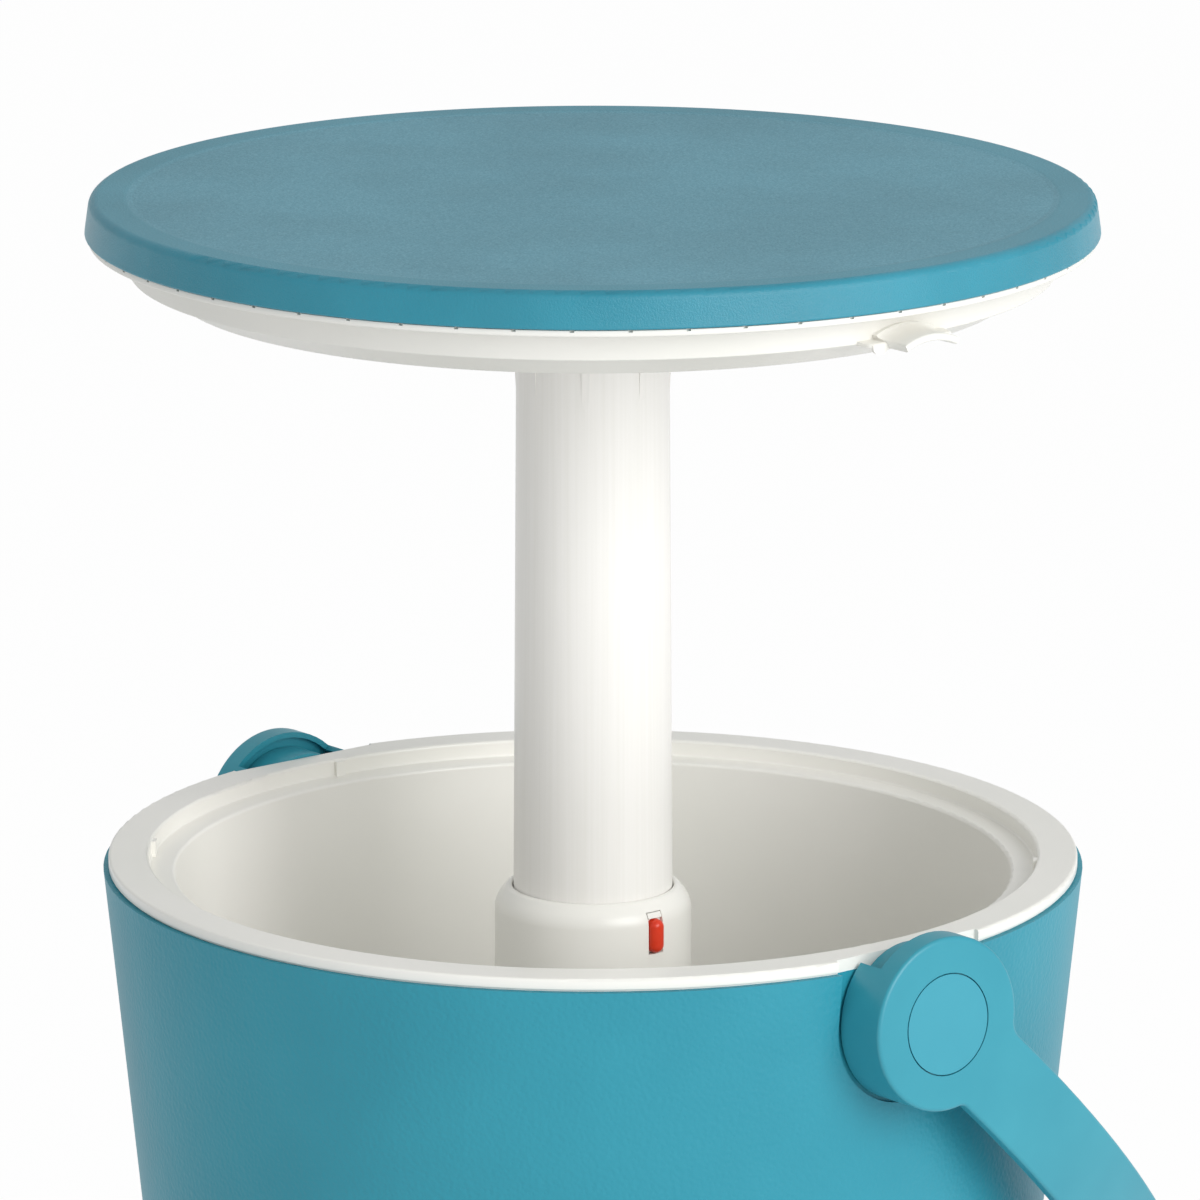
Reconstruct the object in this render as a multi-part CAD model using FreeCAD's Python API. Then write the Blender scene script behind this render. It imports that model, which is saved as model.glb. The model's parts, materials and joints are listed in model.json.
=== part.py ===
import FreeCAD
import Part

import math
import os

# Cooler table: an insulated bucket whose lid is a round table on a lifting column.
# Millimetres, +Z up. The origin is the centre of the base, on the floor.
# +X points at the front handle pivot and the release button, +Y at the hanging handle.
# The column is modelled raised, and the handle hangs against the bucket wall.

# Bucket shell
BASE_STANDOFF = 1.0
SHELL_HEIGHT = 344.6
SHELL_TOP_RADIUS = 172.5
SHELL_TAPER = 0.10
SHELL_WALL = 3.0
SHELL_FLOOR = 4.0
SHELL_FOOT_ROUND = 4.0
MAT_INSET = 20.0
MAT_THICKNESS = 2.5

# Handle pivot pockets in the shell
PIVOT_DEPTH = 18.8
POCKET_DEPTH = 6.5
POCKET_RADIUS = 31.5

# Inner liner
RIM_HEIGHT = 4.4
RIM_SIDE_GAP = 1.8
RIM_LIP_GAP = 0.8
LINER_WALL = 3.0
RIM_WIDTH = 14.1
REBATE_DEPTH = 6.2
LEDGE_WIDTH = 9.3
LINER_DRAFT = 0.09
LINER_FLOOR_Z = 36.0
LINER_FLOOR_ROUND = 9.0
LINER_SPIGOT_DEPTH = 3.6
LINER_SPIGOT_THICKNESS = 2.5
STOP_RIB_ANGLES = (-3.2, 45.5, 176.8, 225.5)
STOP_RIB_WIDTH = 4.0
STOP_RIB_DEPTH = 1.4

# Guide tube, bush and collar
COLLAR_DROP = 12.8
COLLAR_HEIGHT = 47.2
COLLAR_WALL = 1.5
COLLAR_SHOULDER_RADIUS = 34.65
COLLAR_SHOULDER_DROP = 5.6
COLLAR_TOP_LAND = 1.9
COLLAR_FLARE = 0.005
COLLAR_LIP = 10.9
COLLAR_SHOULDER_ROUND = 8.0
COLLAR_TOP_ROUND = 2.2
COLLAR_BORE_ROUND = 0.6
GUIDE_TUBE_WALL = 3.4
GUIDE_FLANGE_RADIUS = 50.0
GUIDE_FLANGE_THICKNESS = 4.0
BUSH_SPIGOT = 28.0
TUBE_SCREW_COUNT = 4
TUBE_SCREW_CIRCLE = 43.0
TUBE_SCREW_START = 45.0

# Lifting column
COLUMN_TOP_RADIUS = 26.62
COLUMN_TAPER = 0.00686
COLUMN_WALL = 2.5
COLUMN_HEAD_THICKNESS = 4.0
COLUMN_HEAD_SCREW_CIRCLE = 15.0
COLUMN_HEAD_SCREW_COUNT = 4
COLUMN_HEAD_SCREW_START = 45.0
TRAVEL = 208.3
FOOT_FLOOR = 2.5
FOOT_RIM = 9.7
FOOT_HOLE_RADIUS = 17.0
FOOT_SCREW_COUNT = 3
FOOT_SCREW_START = 60.0
GUSSET_COUNT = 8
GUSSET_HEIGHT = 35.0
GUSSET_REACH = 1.8
GUSSET_THICKNESS = 2.8
GROOVE_WIDTH = 6.4
GROOVE_FLOOR = 25.5
GROOVE_BACK = 22.5
LATCH_NOTCH_DEPTH = 1.6

# Lid tray
TRAY_SEAT_OVERLAP = 4.2
TRAY_SEAT_WIDTH = 5.0
TRAY_WALL_HEIGHT = 10.8
TRAY_WALL_DRAFT = 1.7
TRAY_LIP_OVERHANG = 2.3
TRAY_LIP_THICKNESS = 2.7
TRAY_CONE_DEPTH = 7.5
TRAY_CONE_WIDTH = 10.8
TRAY_CONE_ROUND = 3.0
TRAY_EDGE_ROUND = 0.9
TRAY_WALL = 3.0
TRAY_SPIGOT_HEIGHT = 4.0
TRAY_SPIGOT_THICKNESS = 2.2

# Lid locking tabs on the tray
TAB_HALF_WIDTH = 12.0
TAB_BASE_HALF_WIDTH = 19.5
TAB_THICKNESS = 2.6
TAB_TIP_GAP = 3.0
APRON_WIDTH = 11.5
APRON_DROP = 4.0
APRON_ROUND = 3.6
APRON_REAR_GAP = 0.1

# Table top
TABLE_OVERHANG = 3.7
TABLE_EDGE_LEAN = 1.8
TABLE_HEIGHT = 12.6
TABLE_EDGE_ROUND = 3.2
TABLE_WALL = 3.0
TABLE_RING_INSET = 12.0
TABLE_RING_SLOPE = 3.0
TABLE_RING_HEIGHT = 0.4
TABLE_RING_ROUND = 2.0
TABLE_SKIRT_ROUND = 0.6
TABLE_SCREW_COUNT = 6
TABLE_SCREW_INSET = 15.0
TABLE_SCREW_START = 30.0
TABLE_BOSS_RADIUS = 5.0

# Handle
HANDLE_REACH = 231.1
STRAP_WIDTH = 31.5
STRAP_OFFSET = 1.1
STRAP_THICKNESS = 5.5
STRAP_EDGE_ROUND = 1.3
STRAP_UPPER_BLEND = 8.0
STRAP_LOWER_BLEND = 4.0
ARM_ARC_RADIUS = 332.0
ARM_ARC_SHIFT = 26.0
ARM_CURVE_START = 10.0
ARM_STAND_OUT = 15.1
ARM_LENGTH = 177.0
DRUM_RADIUS = 30.2
DRUM_SKIRT_WALL = 2.0
DRUM_REAR_GAP = 1.4
DRUM_CUTBACK = 10.3
CUTBACK_START = 48.0
CUTBACK_END = 135.5
DRUM_DEPTH = 14.0
DRUM_WEB_THICKNESS = 3.0

# Pivot
HUB_RADIUS = 24.5
HUB_FACE_GAP = 0.5
HUB_WALL = 2.5
JOURNAL_RADIUS = 12.0
JOURNAL_CLEARANCE = 0.06
WASHER_RADIUS = 14.5
WASHER_THICKNESS = 0.8
CAP_RADIUS = 17.3
CAP_GROOVE = 0.5
CAP_THICKNESS = 1.4
CAP_POCKET_RADIUS = 16.0
HUB_SCREW_COUNT = 3
HUB_SCREW_CIRCLE = 16.8

# Release button and its latch plate
BUTTON_DROP = 24.9
BUTTON_HEIGHT = 12.2
BUTTON_WIDTH = 5.9
BUTTON_STAND_OUT = 2.4
BUTTON_ROUND = 2.0
BUTTON_TRAVEL = 2.0
BUTTON_STEM_RADIUS = 1.6
WINDOW_HEADROOM = 2.4
CARRIER_THICKNESS = 1.6
CARRIER_HALF_WIDTH = 4.6
LATCH_THICKNESS = 2.0
LATCH_TOOTH_REACH = 2.2
SPRING_RADIUS = 1.05
SPRING_WIRE_RADIUS = 0.2
SPRING_TURNS = 6
SPRING_LENGTH = 8.0
SPRING_SIDE = 30.8
SPRING_POCKET_HALF_WIDTH = 1.5
SPRING_POCKET_DEPTH = 3.6
LUG_THICKNESS = 1.4
LUG_HALF_WIDTH = 1.1

# Small screws
SCREW_RADIUS = 1.5
SCREW_HEAD_RADIUS = 3.2
SCREW_HEAD_HEIGHT = 2.0
SCREW_BOSS_RADIUS = 4.0
SCREW_BOSS_HEIGHT = 12.0
PIVOT_SCREW_RADIUS = 2.2
PIVOT_SCREW_HEAD_RADIUS = 6.0
PIVOT_SCREW_HEAD_HEIGHT = 1.1
PIVOT_SCREW_LENGTH = 14.0

# Clearances
SEAL_GAP = 0.3
RUNNING_GAP = 0.3
FIT_GAP = 0.05
FOAM_GAP = 0.2
TOOTH_GAP = 0.4

# Heights and radii that follow from the sizes above
SHELL_TOP = BASE_STANDOFF + SHELL_HEIGHT
SHELL_BASE_RADIUS = SHELL_TOP_RADIUS - SHELL_TAPER * SHELL_HEIGHT
MAT_RADIUS = SHELL_BASE_RADIUS - MAT_INSET
SHELL_INSIDE_RADIUS = SHELL_TOP_RADIUS - SHELL_WALL
SHELL_FLOOR_TOP = BASE_STANDOFF + SHELL_FLOOR
RIM_TOP = SHELL_TOP + RIM_HEIGHT
RIM_RADIUS = SHELL_TOP_RADIUS - RIM_SIDE_GAP
REBATE_RADIUS = RIM_RADIUS - RIM_WIDTH
LEDGE_RADIUS = REBATE_RADIUS - LEDGE_WIDTH
PIVOT_Z = SHELL_TOP - PIVOT_DEPTH
POCKET_X = SHELL_TOP_RADIUS - POCKET_DEPTH
LEDGE_Z = RIM_TOP - REBATE_DEPTH
COLLAR_TOP = RIM_TOP - COLLAR_DROP
COLLAR_BASE = COLLAR_TOP - COLLAR_HEIGHT
COLLAR_CAVITY_TOP = COLLAR_TOP - COLLAR_LIP
TRAY_UNDERSIDE = RIM_TOP + SEAL_GAP + TRAVEL - TRAY_CONE_DEPTH
COLLAR_BORE = COLUMN_TOP_RADIUS + COLUMN_TAPER * (TRAY_UNDERSIDE - COLLAR_TOP) + TOOTH_GAP
COLLAR_CAVITY_RADIUS = COLLAR_SHOULDER_RADIUS - COLLAR_WALL
GUIDE_OUTER_RADIUS = COLLAR_SHOULDER_RADIUS + COLLAR_FLARE * (COLLAR_HEIGHT - COLLAR_SHOULDER_DROP)
GUIDE_INNER_RADIUS = GUIDE_OUTER_RADIUS - GUIDE_TUBE_WALL
BUSH_BASE = COLLAR_BASE - BUSH_SPIGOT
LATCH_TOP = COLLAR_CAVITY_TOP - RUNNING_GAP
LATCH_BASE = LATCH_TOP - LATCH_THICKNESS
BUSH_TOP = LATCH_BASE - RUNNING_GAP
TRAY_SEAT_RADIUS = REBATE_RADIUS + TRAY_SEAT_OVERLAP
TRAY_FLAT_RADIUS = TRAY_SEAT_RADIUS - TRAY_SEAT_WIDTH - TRAY_CONE_WIDTH
TRAY_LIP_RADIUS = SHELL_TOP_RADIUS + TRAY_LIP_OVERHANG
TRAY_SEAT_Z = TRAY_UNDERSIDE + TRAY_CONE_DEPTH
TRAY_LIP_UNDERSIDE = TRAY_SEAT_Z + TRAY_WALL_HEIGHT
TRAY_LIP_TOP = TRAY_LIP_UNDERSIDE + TRAY_LIP_THICKNESS
TRAY_FLOOR_TOP = TRAY_UNDERSIDE + TRAY_WALL
TRAY_WALL_TOP_RADIUS = TRAY_SEAT_RADIUS + TRAY_WALL_DRAFT
TABLE_RADIUS = SHELL_TOP_RADIUS + TABLE_OVERHANG
TABLE_EDGE_RADIUS = TABLE_RADIUS - TABLE_EDGE_LEAN
TABLE_SCREW_CIRCLE = TRAY_FLAT_RADIUS - TABLE_SCREW_INSET
TABLE_TOP = TRAY_LIP_TOP + TABLE_HEIGHT
TABLE_FACE = TABLE_TOP - TABLE_RING_HEIGHT
TABLE_UNDERSIDE = TABLE_FACE - TABLE_WALL
FOOT_TOP = BUSH_BASE - RUNNING_GAP
FOOT_BASE = FOOT_TOP - FOOT_RIM
COLUMN_BASE = FOOT_BASE + FOOT_FLOOR
FOOT_SCREW_CIRCLE = COLUMN_TOP_RADIUS - SCREW_BOSS_RADIUS
FOOT_RADIUS = GUIDE_INNER_RADIUS - RUNNING_GAP
STRAP_LOW = -STRAP_WIDTH / 2 - STRAP_OFFSET
STRAP_HIGH = STRAP_LOW + STRAP_WIDTH
HANDLE_FORM_DEPTH = DRUM_RADIUS + STRAP_THICKNESS
ARM_FACE_X = SHELL_TOP_RADIUS + ARM_STAND_OUT
DRUM_WEB_X = POCKET_X + DRUM_DEPTH
SKIRT_REAR_X = POCKET_X + DRUM_REAR_GAP
SKIRT_INNER_RADIUS = DRUM_RADIUS - DRUM_SKIRT_WALL
TAB_OUTER_RADIUS = SKIRT_INNER_RADIUS - TOOTH_GAP
TAB_INNER_RADIUS = TAB_OUTER_RADIUS - TAB_THICKNESS
TAB_AXIS_Z = PIVOT_Z + TRAVEL
TAB_TIP_X = DRUM_WEB_X - TAB_TIP_GAP
HUB_FACE_X = DRUM_WEB_X - HUB_FACE_GAP
WEB_OUTER_X = DRUM_WEB_X + DRUM_WEB_THICKNESS
JOURNAL_END_X = WEB_OUTER_X + RUNNING_GAP
BUTTON_Z = RIM_TOP - BUTTON_DROP
BUTTON_FACE_X = COLLAR_SHOULDER_RADIUS + BUTTON_STAND_OUT
CARRIER_FRONT_X = COLLAR_CAVITY_RADIUS - RUNNING_GAP + FIT_GAP
CARRIER_BACK_X = CARRIER_FRONT_X - CARRIER_THICKNESS
WINDOW_TOP = BUTTON_Z + BUTTON_HEIGHT / 2 + WINDOW_HEADROOM
WINDOW_LOW = BUTTON_Z - BUTTON_HEIGHT / 2 - RUNNING_GAP
LATCH_RADIUS = CARRIER_FRONT_X
SPRING_Z = BUSH_TOP - SPRING_POCKET_DEPTH / 2


# Helpers for points, profiles and solids

def vec(x, y, z):
    return FreeCAD.Vector(x, y, z)


def column_radius(z):
    return COLUMN_TOP_RADIUS + COLUMN_TAPER * (TRAY_UNDERSIDE - z)


def shell_radius(z):
    return SHELL_TOP_RADIUS - SHELL_TAPER * (SHELL_TOP - z)


def shell_inside(z):
    return shell_radius(z) - SHELL_WALL


def liner_radius(z):
    return LEDGE_RADIUS - LINER_DRAFT * (LEDGE_Z - z)


def corner_cut(before, corner, after, radius):
    # The two tangent points and the middle point of the arc that rounds one corner
    first = (before - corner).normalize()
    second = (after - corner).normalize()
    half = first.getAngle(second) / 2
    reach = radius / math.tan(half)
    bisector = (first + second).normalize()
    centre = corner + bisector * (radius / math.sin(half))
    middle = centre - bisector * radius
    return corner + first * reach, middle, corner + second * reach


def outline(corners, place):
    # A closed wire through corners (a, b) or (a, b, radius), with the rounded ones as arcs
    points = [place(corner[0], corner[1]) for corner in corners]
    radii = [corner[2] if len(corner) > 2 else 0 for corner in corners]
    count = len(points)
    cuts = []
    for i in range(count):
        if radii[i] > 0:
            cuts.append(corner_cut(points[i - 1], points[i], points[(i + 1) % count], radii[i]))
        else:
            cuts.append((points[i], None, points[i]))
    edges = []
    for i in range(count):
        start, middle, end = cuts[i]
        if middle is not None:
            edges.append(Part.Arc(start, middle, end).toShape())
        following = cuts[(i + 1) % count][0]
        if end.distanceToPoint(following) > 1e-6:
            edges.append(Part.LineSegment(end, following).toShape())
    return Part.Wire(edges)


def turned(corners):
    face = Part.Face(outline(corners, lambda r, z: vec(r, 0, z)))
    return face.revolve(vec(0, 0, 0), vec(0, 0, 1), 360)


def upright(radius, low, high, x=0.0, y=0.0):
    return Part.makeCylinder(radius, high - low, vec(x, y, low), vec(0, 0, 1))


def crosswise(radius, start_x, end_x, y=0.0, z=PIVOT_Z):
    # A cylinder along X between two distances from the centre plane
    return Part.makeCylinder(radius, end_x - start_x, vec(start_x, y, z), vec(1, 0, 0))


def block(low, high):
    size = [high[i] - low[i] for i in range(3)]
    return Part.makeBox(size[0], size[1], size[2], vec(low[0], low[1], low[2]))


def spun(shape, angle):
    copy = shape.copy()
    copy.rotate(vec(0, 0, 0), vec(0, 0, 1), angle)
    return copy


def mirrored(shape):
    return shape.mirror(vec(0, 0, 0), vec(1, 0, 0))


def both_sides(shape):
    return [shape, mirrored(shape)]


def ring_of(shape, count, start=0.0):
    return [spun(shape, start + 360.0 * i / count) for i in range(count)]


def fused(shapes):
    return shapes[0].multiFuse(shapes[1:]).removeSplitter()


def group(shapes):
    return Part.makeCompound(shapes)


def save(name, shape):
    shape.exportStep("parts/" + name + ".step")


def pocket_form(start_x, end_x, radius):
    # The outline of a pivot pocket: round below, with straight sides up past the rim
    round_part = crosswise(radius, start_x, end_x)
    straight = block((start_x, -radius, PIVOT_Z), (end_x, radius, RIM_TOP + RIM_HEIGHT))
    return fused([round_part, straight])


def screw_down(head_radius, shank_radius, head_z, length, x, y):
    # A pan head screw driven downwards, its head standing on head_z
    head = upright(head_radius, head_z, head_z + SCREW_HEAD_HEIGHT, x, y)
    shank = upright(shank_radius, head_z - length, head_z, x, y)
    return fused([head, shank])


def screw_up(head_radius, shank_radius, seat_z, length, x, y):
    # A pan head screw driven upwards, its head hanging below seat_z
    head = upright(head_radius, seat_z - SCREW_HEAD_HEIGHT, seat_z, x, y)
    shank = upright(shank_radius, seat_z, seat_z + length, x, y)
    return fused([head, shank])


# Bucket

def hub_screw_places():
    places = []
    for i in range(HUB_SCREW_COUNT):
        angle = math.radians(90 + 360.0 * i / HUB_SCREW_COUNT)
        y = HUB_SCREW_CIRCLE * math.cos(angle)
        z = PIVOT_Z - HUB_SCREW_CIRCLE * math.sin(angle)
        places.append((y, z))
    return places


def make_outer_shell():
    outside = turned([
        (0, BASE_STANDOFF),
        (shell_radius(BASE_STANDOFF), BASE_STANDOFF, SHELL_FOOT_ROUND),
        (SHELL_TOP_RADIUS, SHELL_TOP),
        (0, SHELL_TOP)])
    inside = turned([
        (0, SHELL_FLOOR_TOP),
        (shell_inside(SHELL_FLOOR_TOP), SHELL_FLOOR_TOP, SHELL_FOOT_ROUND - SHELL_WALL / 2),
        (SHELL_INSIDE_RADIUS, SHELL_TOP),
        (SHELL_INSIDE_RADIUS, RIM_TOP),
        (0, RIM_TOP)])
    backing = pocket_form(POCKET_X - SHELL_WALL, SHELL_TOP_RADIUS, POCKET_RADIUS + SHELL_WALL)
    pocket = pocket_form(POCKET_X, SHELL_TOP_RADIUS + POCKET_DEPTH, POCKET_RADIUS)
    hollow = inside.cut(both_sides(backing))
    shell = outside.cut([hollow] + both_sides(pocket))
    recess = upright(MAT_RADIUS + FOAM_GAP, 0, MAT_THICKNESS)
    holes = []
    for y, z in hub_screw_places():
        hole = crosswise(SCREW_RADIUS + FIT_GAP, POCKET_X - SHELL_WALL, POCKET_X, y, z)
        holes += both_sides(hole)
    return shell.cut([recess] + holes)


def make_anti_slip_mat():
    return turned([
        (0, 0),
        (MAT_RADIUS, 0, MAT_THICKNESS / 4),
        (MAT_RADIUS, MAT_THICKNESS),
        (0, MAT_THICKNESS)])


def tube_screw_bosses(radius, low, high):
    return ring_of(upright(radius, low, high, TUBE_SCREW_CIRCLE), TUBE_SCREW_COUNT, TUBE_SCREW_START)


def liner_body():
    spigot_base = SHELL_TOP - LINER_SPIGOT_DEPTH
    spigot_outer = shell_inside(spigot_base) - RUNNING_GAP
    spigot_inner = spigot_outer - LINER_SPIGOT_THICKNESS
    seat_edge = SHELL_INSIDE_RADIUS + RIM_LIP_GAP / 2
    back_radius = REBATE_RADIUS + LINER_WALL
    ledge_back = LEDGE_Z - LINER_WALL
    floor_back = LINER_FLOOR_Z - LINER_WALL
    return turned([
        (0, LINER_FLOOR_Z),
        (liner_radius(LINER_FLOOR_Z), LINER_FLOOR_Z, LINER_FLOOR_ROUND),
        (LEDGE_RADIUS, LEDGE_Z, 1.2),
        (REBATE_RADIUS, LEDGE_Z, 0.8),
        (REBATE_RADIUS, RIM_TOP, 1.0),
        (RIM_RADIUS, RIM_TOP, 0.9),
        (RIM_RADIUS, SHELL_TOP + RIM_LIP_GAP),
        (seat_edge, SHELL_TOP + RIM_LIP_GAP),
        (seat_edge, SHELL_TOP),
        (spigot_outer, SHELL_TOP),
        (spigot_outer, spigot_base),
        (spigot_inner, spigot_base),
        (spigot_inner, RIM_TOP - LINER_WALL),
        (back_radius, RIM_TOP - LINER_WALL),
        (back_radius, ledge_back),
        (liner_radius(ledge_back) + LINER_WALL, ledge_back),
        (liner_radius(floor_back) + LINER_WALL, floor_back, LINER_FLOOR_ROUND + LINER_WALL),
        (0, floor_back)])


def make_inner_liner():
    far_x = SHELL_TOP_RADIUS + POCKET_DEPTH
    rim_flat_x = POCKET_X - FOAM_GAP
    rim_cut = block((rim_flat_x, -POCKET_RADIUS, LEDGE_Z), (far_x, POCKET_RADIUS, RIM_TOP + 1))
    side = POCKET_RADIUS + SHELL_WALL + FOAM_GAP
    back_x = POCKET_X - SHELL_WALL - FOAM_GAP
    spigot_cut = block((back_x, -side, LEDGE_Z - LINER_WALL), (far_x, side, SHELL_TOP))
    flat_lip = block(
        (rim_flat_x - LINER_WALL + FOAM_GAP, -POCKET_RADIUS, SHELL_TOP),
        (rim_flat_x, POCKET_RADIUS, RIM_TOP - LINER_WALL / 2))
    liner = liner_body().cut(both_sides(rim_cut) + both_sides(spigot_cut))
    rib = block(
        (REBATE_RADIUS - STOP_RIB_DEPTH, -STOP_RIB_WIDTH / 2, LEDGE_Z),
        (REBATE_RADIUS + LINER_WALL / 2, STOP_RIB_WIDTH / 2, RIM_TOP - STOP_RIB_DEPTH / 2))
    ribs = [spun(rib, angle) for angle in STOP_RIB_ANGLES]
    floor_back = LINER_FLOOR_Z - LINER_WALL
    bosses = tube_screw_bosses(SCREW_BOSS_RADIUS, floor_back - SCREW_BOSS_HEIGHT, floor_back)
    liner = fused([liner] + both_sides(flat_lip) + ribs + bosses)
    thread = LINER_FLOOR_Z - SCREW_BOSS_HEIGHT
    return liner.cut(tube_screw_bosses(SCREW_RADIUS + FIT_GAP, thread, LINER_FLOOR_Z))


def make_insulation_foam():
    floor_back = LINER_FLOOR_Z - LINER_WALL
    ledge_back = LEDGE_Z - LINER_WALL - FOAM_GAP
    top = SHELL_TOP - LINER_SPIGOT_DEPTH - FOAM_GAP
    back_radius = REBATE_RADIUS + LINER_WALL + FOAM_GAP
    clear = LINER_WALL + FOAM_GAP
    foam = turned([
        (0, SHELL_FLOOR_TOP),
        (shell_inside(SHELL_FLOOR_TOP) - FOAM_GAP, SHELL_FLOOR_TOP, SHELL_FOOT_ROUND),
        (shell_inside(top) - FOAM_GAP, top),
        (back_radius, top),
        (back_radius, ledge_back),
        (liner_radius(ledge_back) + clear, ledge_back),
        (liner_radius(floor_back) + clear, floor_back, LINER_FLOOR_ROUND + clear),
        (0, floor_back)])
    backing = pocket_form(
        POCKET_X - SHELL_WALL - FOAM_GAP,
        SHELL_TOP_RADIUS,
        POCKET_RADIUS + SHELL_WALL + FOAM_GAP)
    boss_holes = tube_screw_bosses(
        SCREW_BOSS_RADIUS + FOAM_GAP,
        floor_back - SCREW_BOSS_HEIGHT - FOAM_GAP,
        floor_back)
    return foam.cut(both_sides(backing) + boss_holes)


# Guide for the column

def make_guide_tube():
    flange_top = LINER_FLOOR_Z + GUIDE_FLANGE_THICKNESS
    foot_radius = GUIDE_OUTER_RADIUS + COLLAR_FLARE * (COLLAR_BASE - flange_top)
    tube = turned([
        (GUIDE_INNER_RADIUS, LINER_FLOOR_Z),
        (GUIDE_FLANGE_RADIUS, LINER_FLOOR_Z),
        (GUIDE_FLANGE_RADIUS, flange_top, 0.8),
        (foot_radius, flange_top, 3.0),
        (GUIDE_OUTER_RADIUS, COLLAR_BASE),
        (GUIDE_INNER_RADIUS, COLLAR_BASE)])
    return tube.cut(tube_screw_bosses(SCREW_RADIUS + FIT_GAP, LINER_FLOOR_Z, flange_top))


def make_tube_screws():
    head_z = LINER_FLOOR_Z + GUIDE_FLANGE_THICKNESS
    length = GUIDE_FLANGE_THICKNESS + SCREW_BOSS_HEIGHT - 2 * SCREW_RADIUS
    screw = screw_down(SCREW_HEAD_RADIUS, SCREW_RADIUS, head_z, length, TUBE_SCREW_CIRCLE, 0)
    return group(ring_of(screw, TUBE_SCREW_COUNT, TUBE_SCREW_START))


def carrier_room(low, high, inner_x):
    # Room for the button's carrier to slide in
    side = CARRIER_HALF_WIDTH + TOOTH_GAP
    return block((inner_x, -side, low), (COLLAR_CAVITY_RADIUS, side, high))


def spring_pockets():
    reach = SPRING_LENGTH / 2 + LUG_THICKNESS
    pockets = []
    for side in (-SPRING_SIDE, SPRING_SIDE):
        pockets.append(block(
            (-SPRING_LENGTH / 2 - FIT_GAP, side - SPRING_POCKET_HALF_WIDTH, BUSH_TOP - SPRING_POCKET_DEPTH),
            (reach + RUNNING_GAP, side + SPRING_POCKET_HALF_WIDTH, BUSH_TOP)))
    return pockets


def make_guide_bush():
    body = turned([
        (column_radius(BUSH_BASE) + RUNNING_GAP, BUSH_BASE),
        (GUIDE_INNER_RADIUS - FIT_GAP, BUSH_BASE),
        (GUIDE_INNER_RADIUS - FIT_GAP, COLLAR_BASE),
        (COLLAR_CAVITY_RADIUS - FIT_GAP, COLLAR_BASE),
        (COLLAR_CAVITY_RADIUS - FIT_GAP, BUSH_TOP),
        (column_radius(BUSH_TOP) + RUNNING_GAP, BUSH_TOP)])
    key_half = GROOVE_WIDTH / 2 - RUNNING_GAP
    key_back = column_radius(BUSH_BASE) + 2 * RUNNING_GAP
    key = block((-key_back, -key_half, BUSH_BASE), (-GROOVE_FLOOR - TOOTH_GAP, key_half, BUSH_TOP))
    low = BUTTON_Z - BUTTON_HEIGHT / 2 - TOOTH_GAP
    inner_x = CARRIER_BACK_X - BUTTON_TRAVEL - RUNNING_GAP
    bush = fused([body, key])
    return bush.cut([carrier_room(low, BUSH_TOP, inner_x)] + spring_pockets())


def collar_outside():
    # The collar's outer form, solid to the axis
    return turned([
        (0, COLLAR_BASE),
        (GUIDE_OUTER_RADIUS, COLLAR_BASE),
        (COLLAR_SHOULDER_RADIUS, COLLAR_TOP - COLLAR_SHOULDER_DROP, COLLAR_SHOULDER_ROUND),
        (COLLAR_BORE + COLLAR_TOP_LAND, COLLAR_TOP, COLLAR_TOP_ROUND),
        (0, COLLAR_TOP)])


def make_guide_collar():
    bore = turned([
        (0, COLLAR_CAVITY_TOP),
        (COLLAR_BORE, COLLAR_CAVITY_TOP),
        (COLLAR_BORE, COLLAR_TOP - COLLAR_BORE_ROUND),
        (COLLAR_BORE + COLLAR_BORE_ROUND, COLLAR_TOP),
        (0, COLLAR_TOP)])
    cavity = upright(COLLAR_CAVITY_RADIUS, COLLAR_BASE, COLLAR_CAVITY_TOP)
    room_half = BUTTON_HEIGHT / 2 + TOOTH_GAP
    room = carrier_room(BUTTON_Z - room_half, BUTTON_Z + room_half, 0)
    window_half = BUTTON_WIDTH / 2 + RUNNING_GAP
    window = block((0, -window_half, WINDOW_LOW), (BUTTON_FACE_X, window_half, WINDOW_TOP))
    return collar_outside().cut([bore, cavity, room, window])


# Release button

def make_latch_plate():
    height = (LATCH_BASE, LATCH_TOP)
    outer = upright(LATCH_RADIUS, *height)
    outer = outer.common(upright(LATCH_RADIUS, *height, x=BUTTON_TRAVEL))
    opening = column_radius(LATCH_BASE) + RUNNING_GAP
    hole = fused([
        upright(opening, *height),
        upright(opening, *height, x=BUTTON_TRAVEL),
        block((0, -opening, LATCH_BASE), (BUTTON_TRAVEL, opening, LATCH_TOP))])
    front = block(
        (CARRIER_BACK_X, -LATCH_RADIUS, LATCH_BASE),
        (LATCH_RADIUS + BUTTON_TRAVEL, LATCH_RADIUS, LATCH_TOP))
    tooth_half = GROOVE_WIDTH / 2 - TOOTH_GAP
    tooth = block(
        (-opening - RUNNING_GAP, -tooth_half, LATCH_BASE),
        (-opening + LATCH_TOOTH_REACH, tooth_half, LATCH_TOP))
    lugs = []
    for side in (-SPRING_SIDE, SPRING_SIDE):
        lug_low = BUSH_TOP - SPRING_POCKET_DEPTH + RUNNING_GAP
        lugs.append(block(
            (SPRING_LENGTH / 2, side - LUG_HALF_WIDTH, lug_low),
            (SPRING_LENGTH / 2 + LUG_THICKNESS, side + LUG_HALF_WIDTH, LATCH_BASE)))
    return fused([outer.cut([hole, front]), tooth] + lugs)


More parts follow.
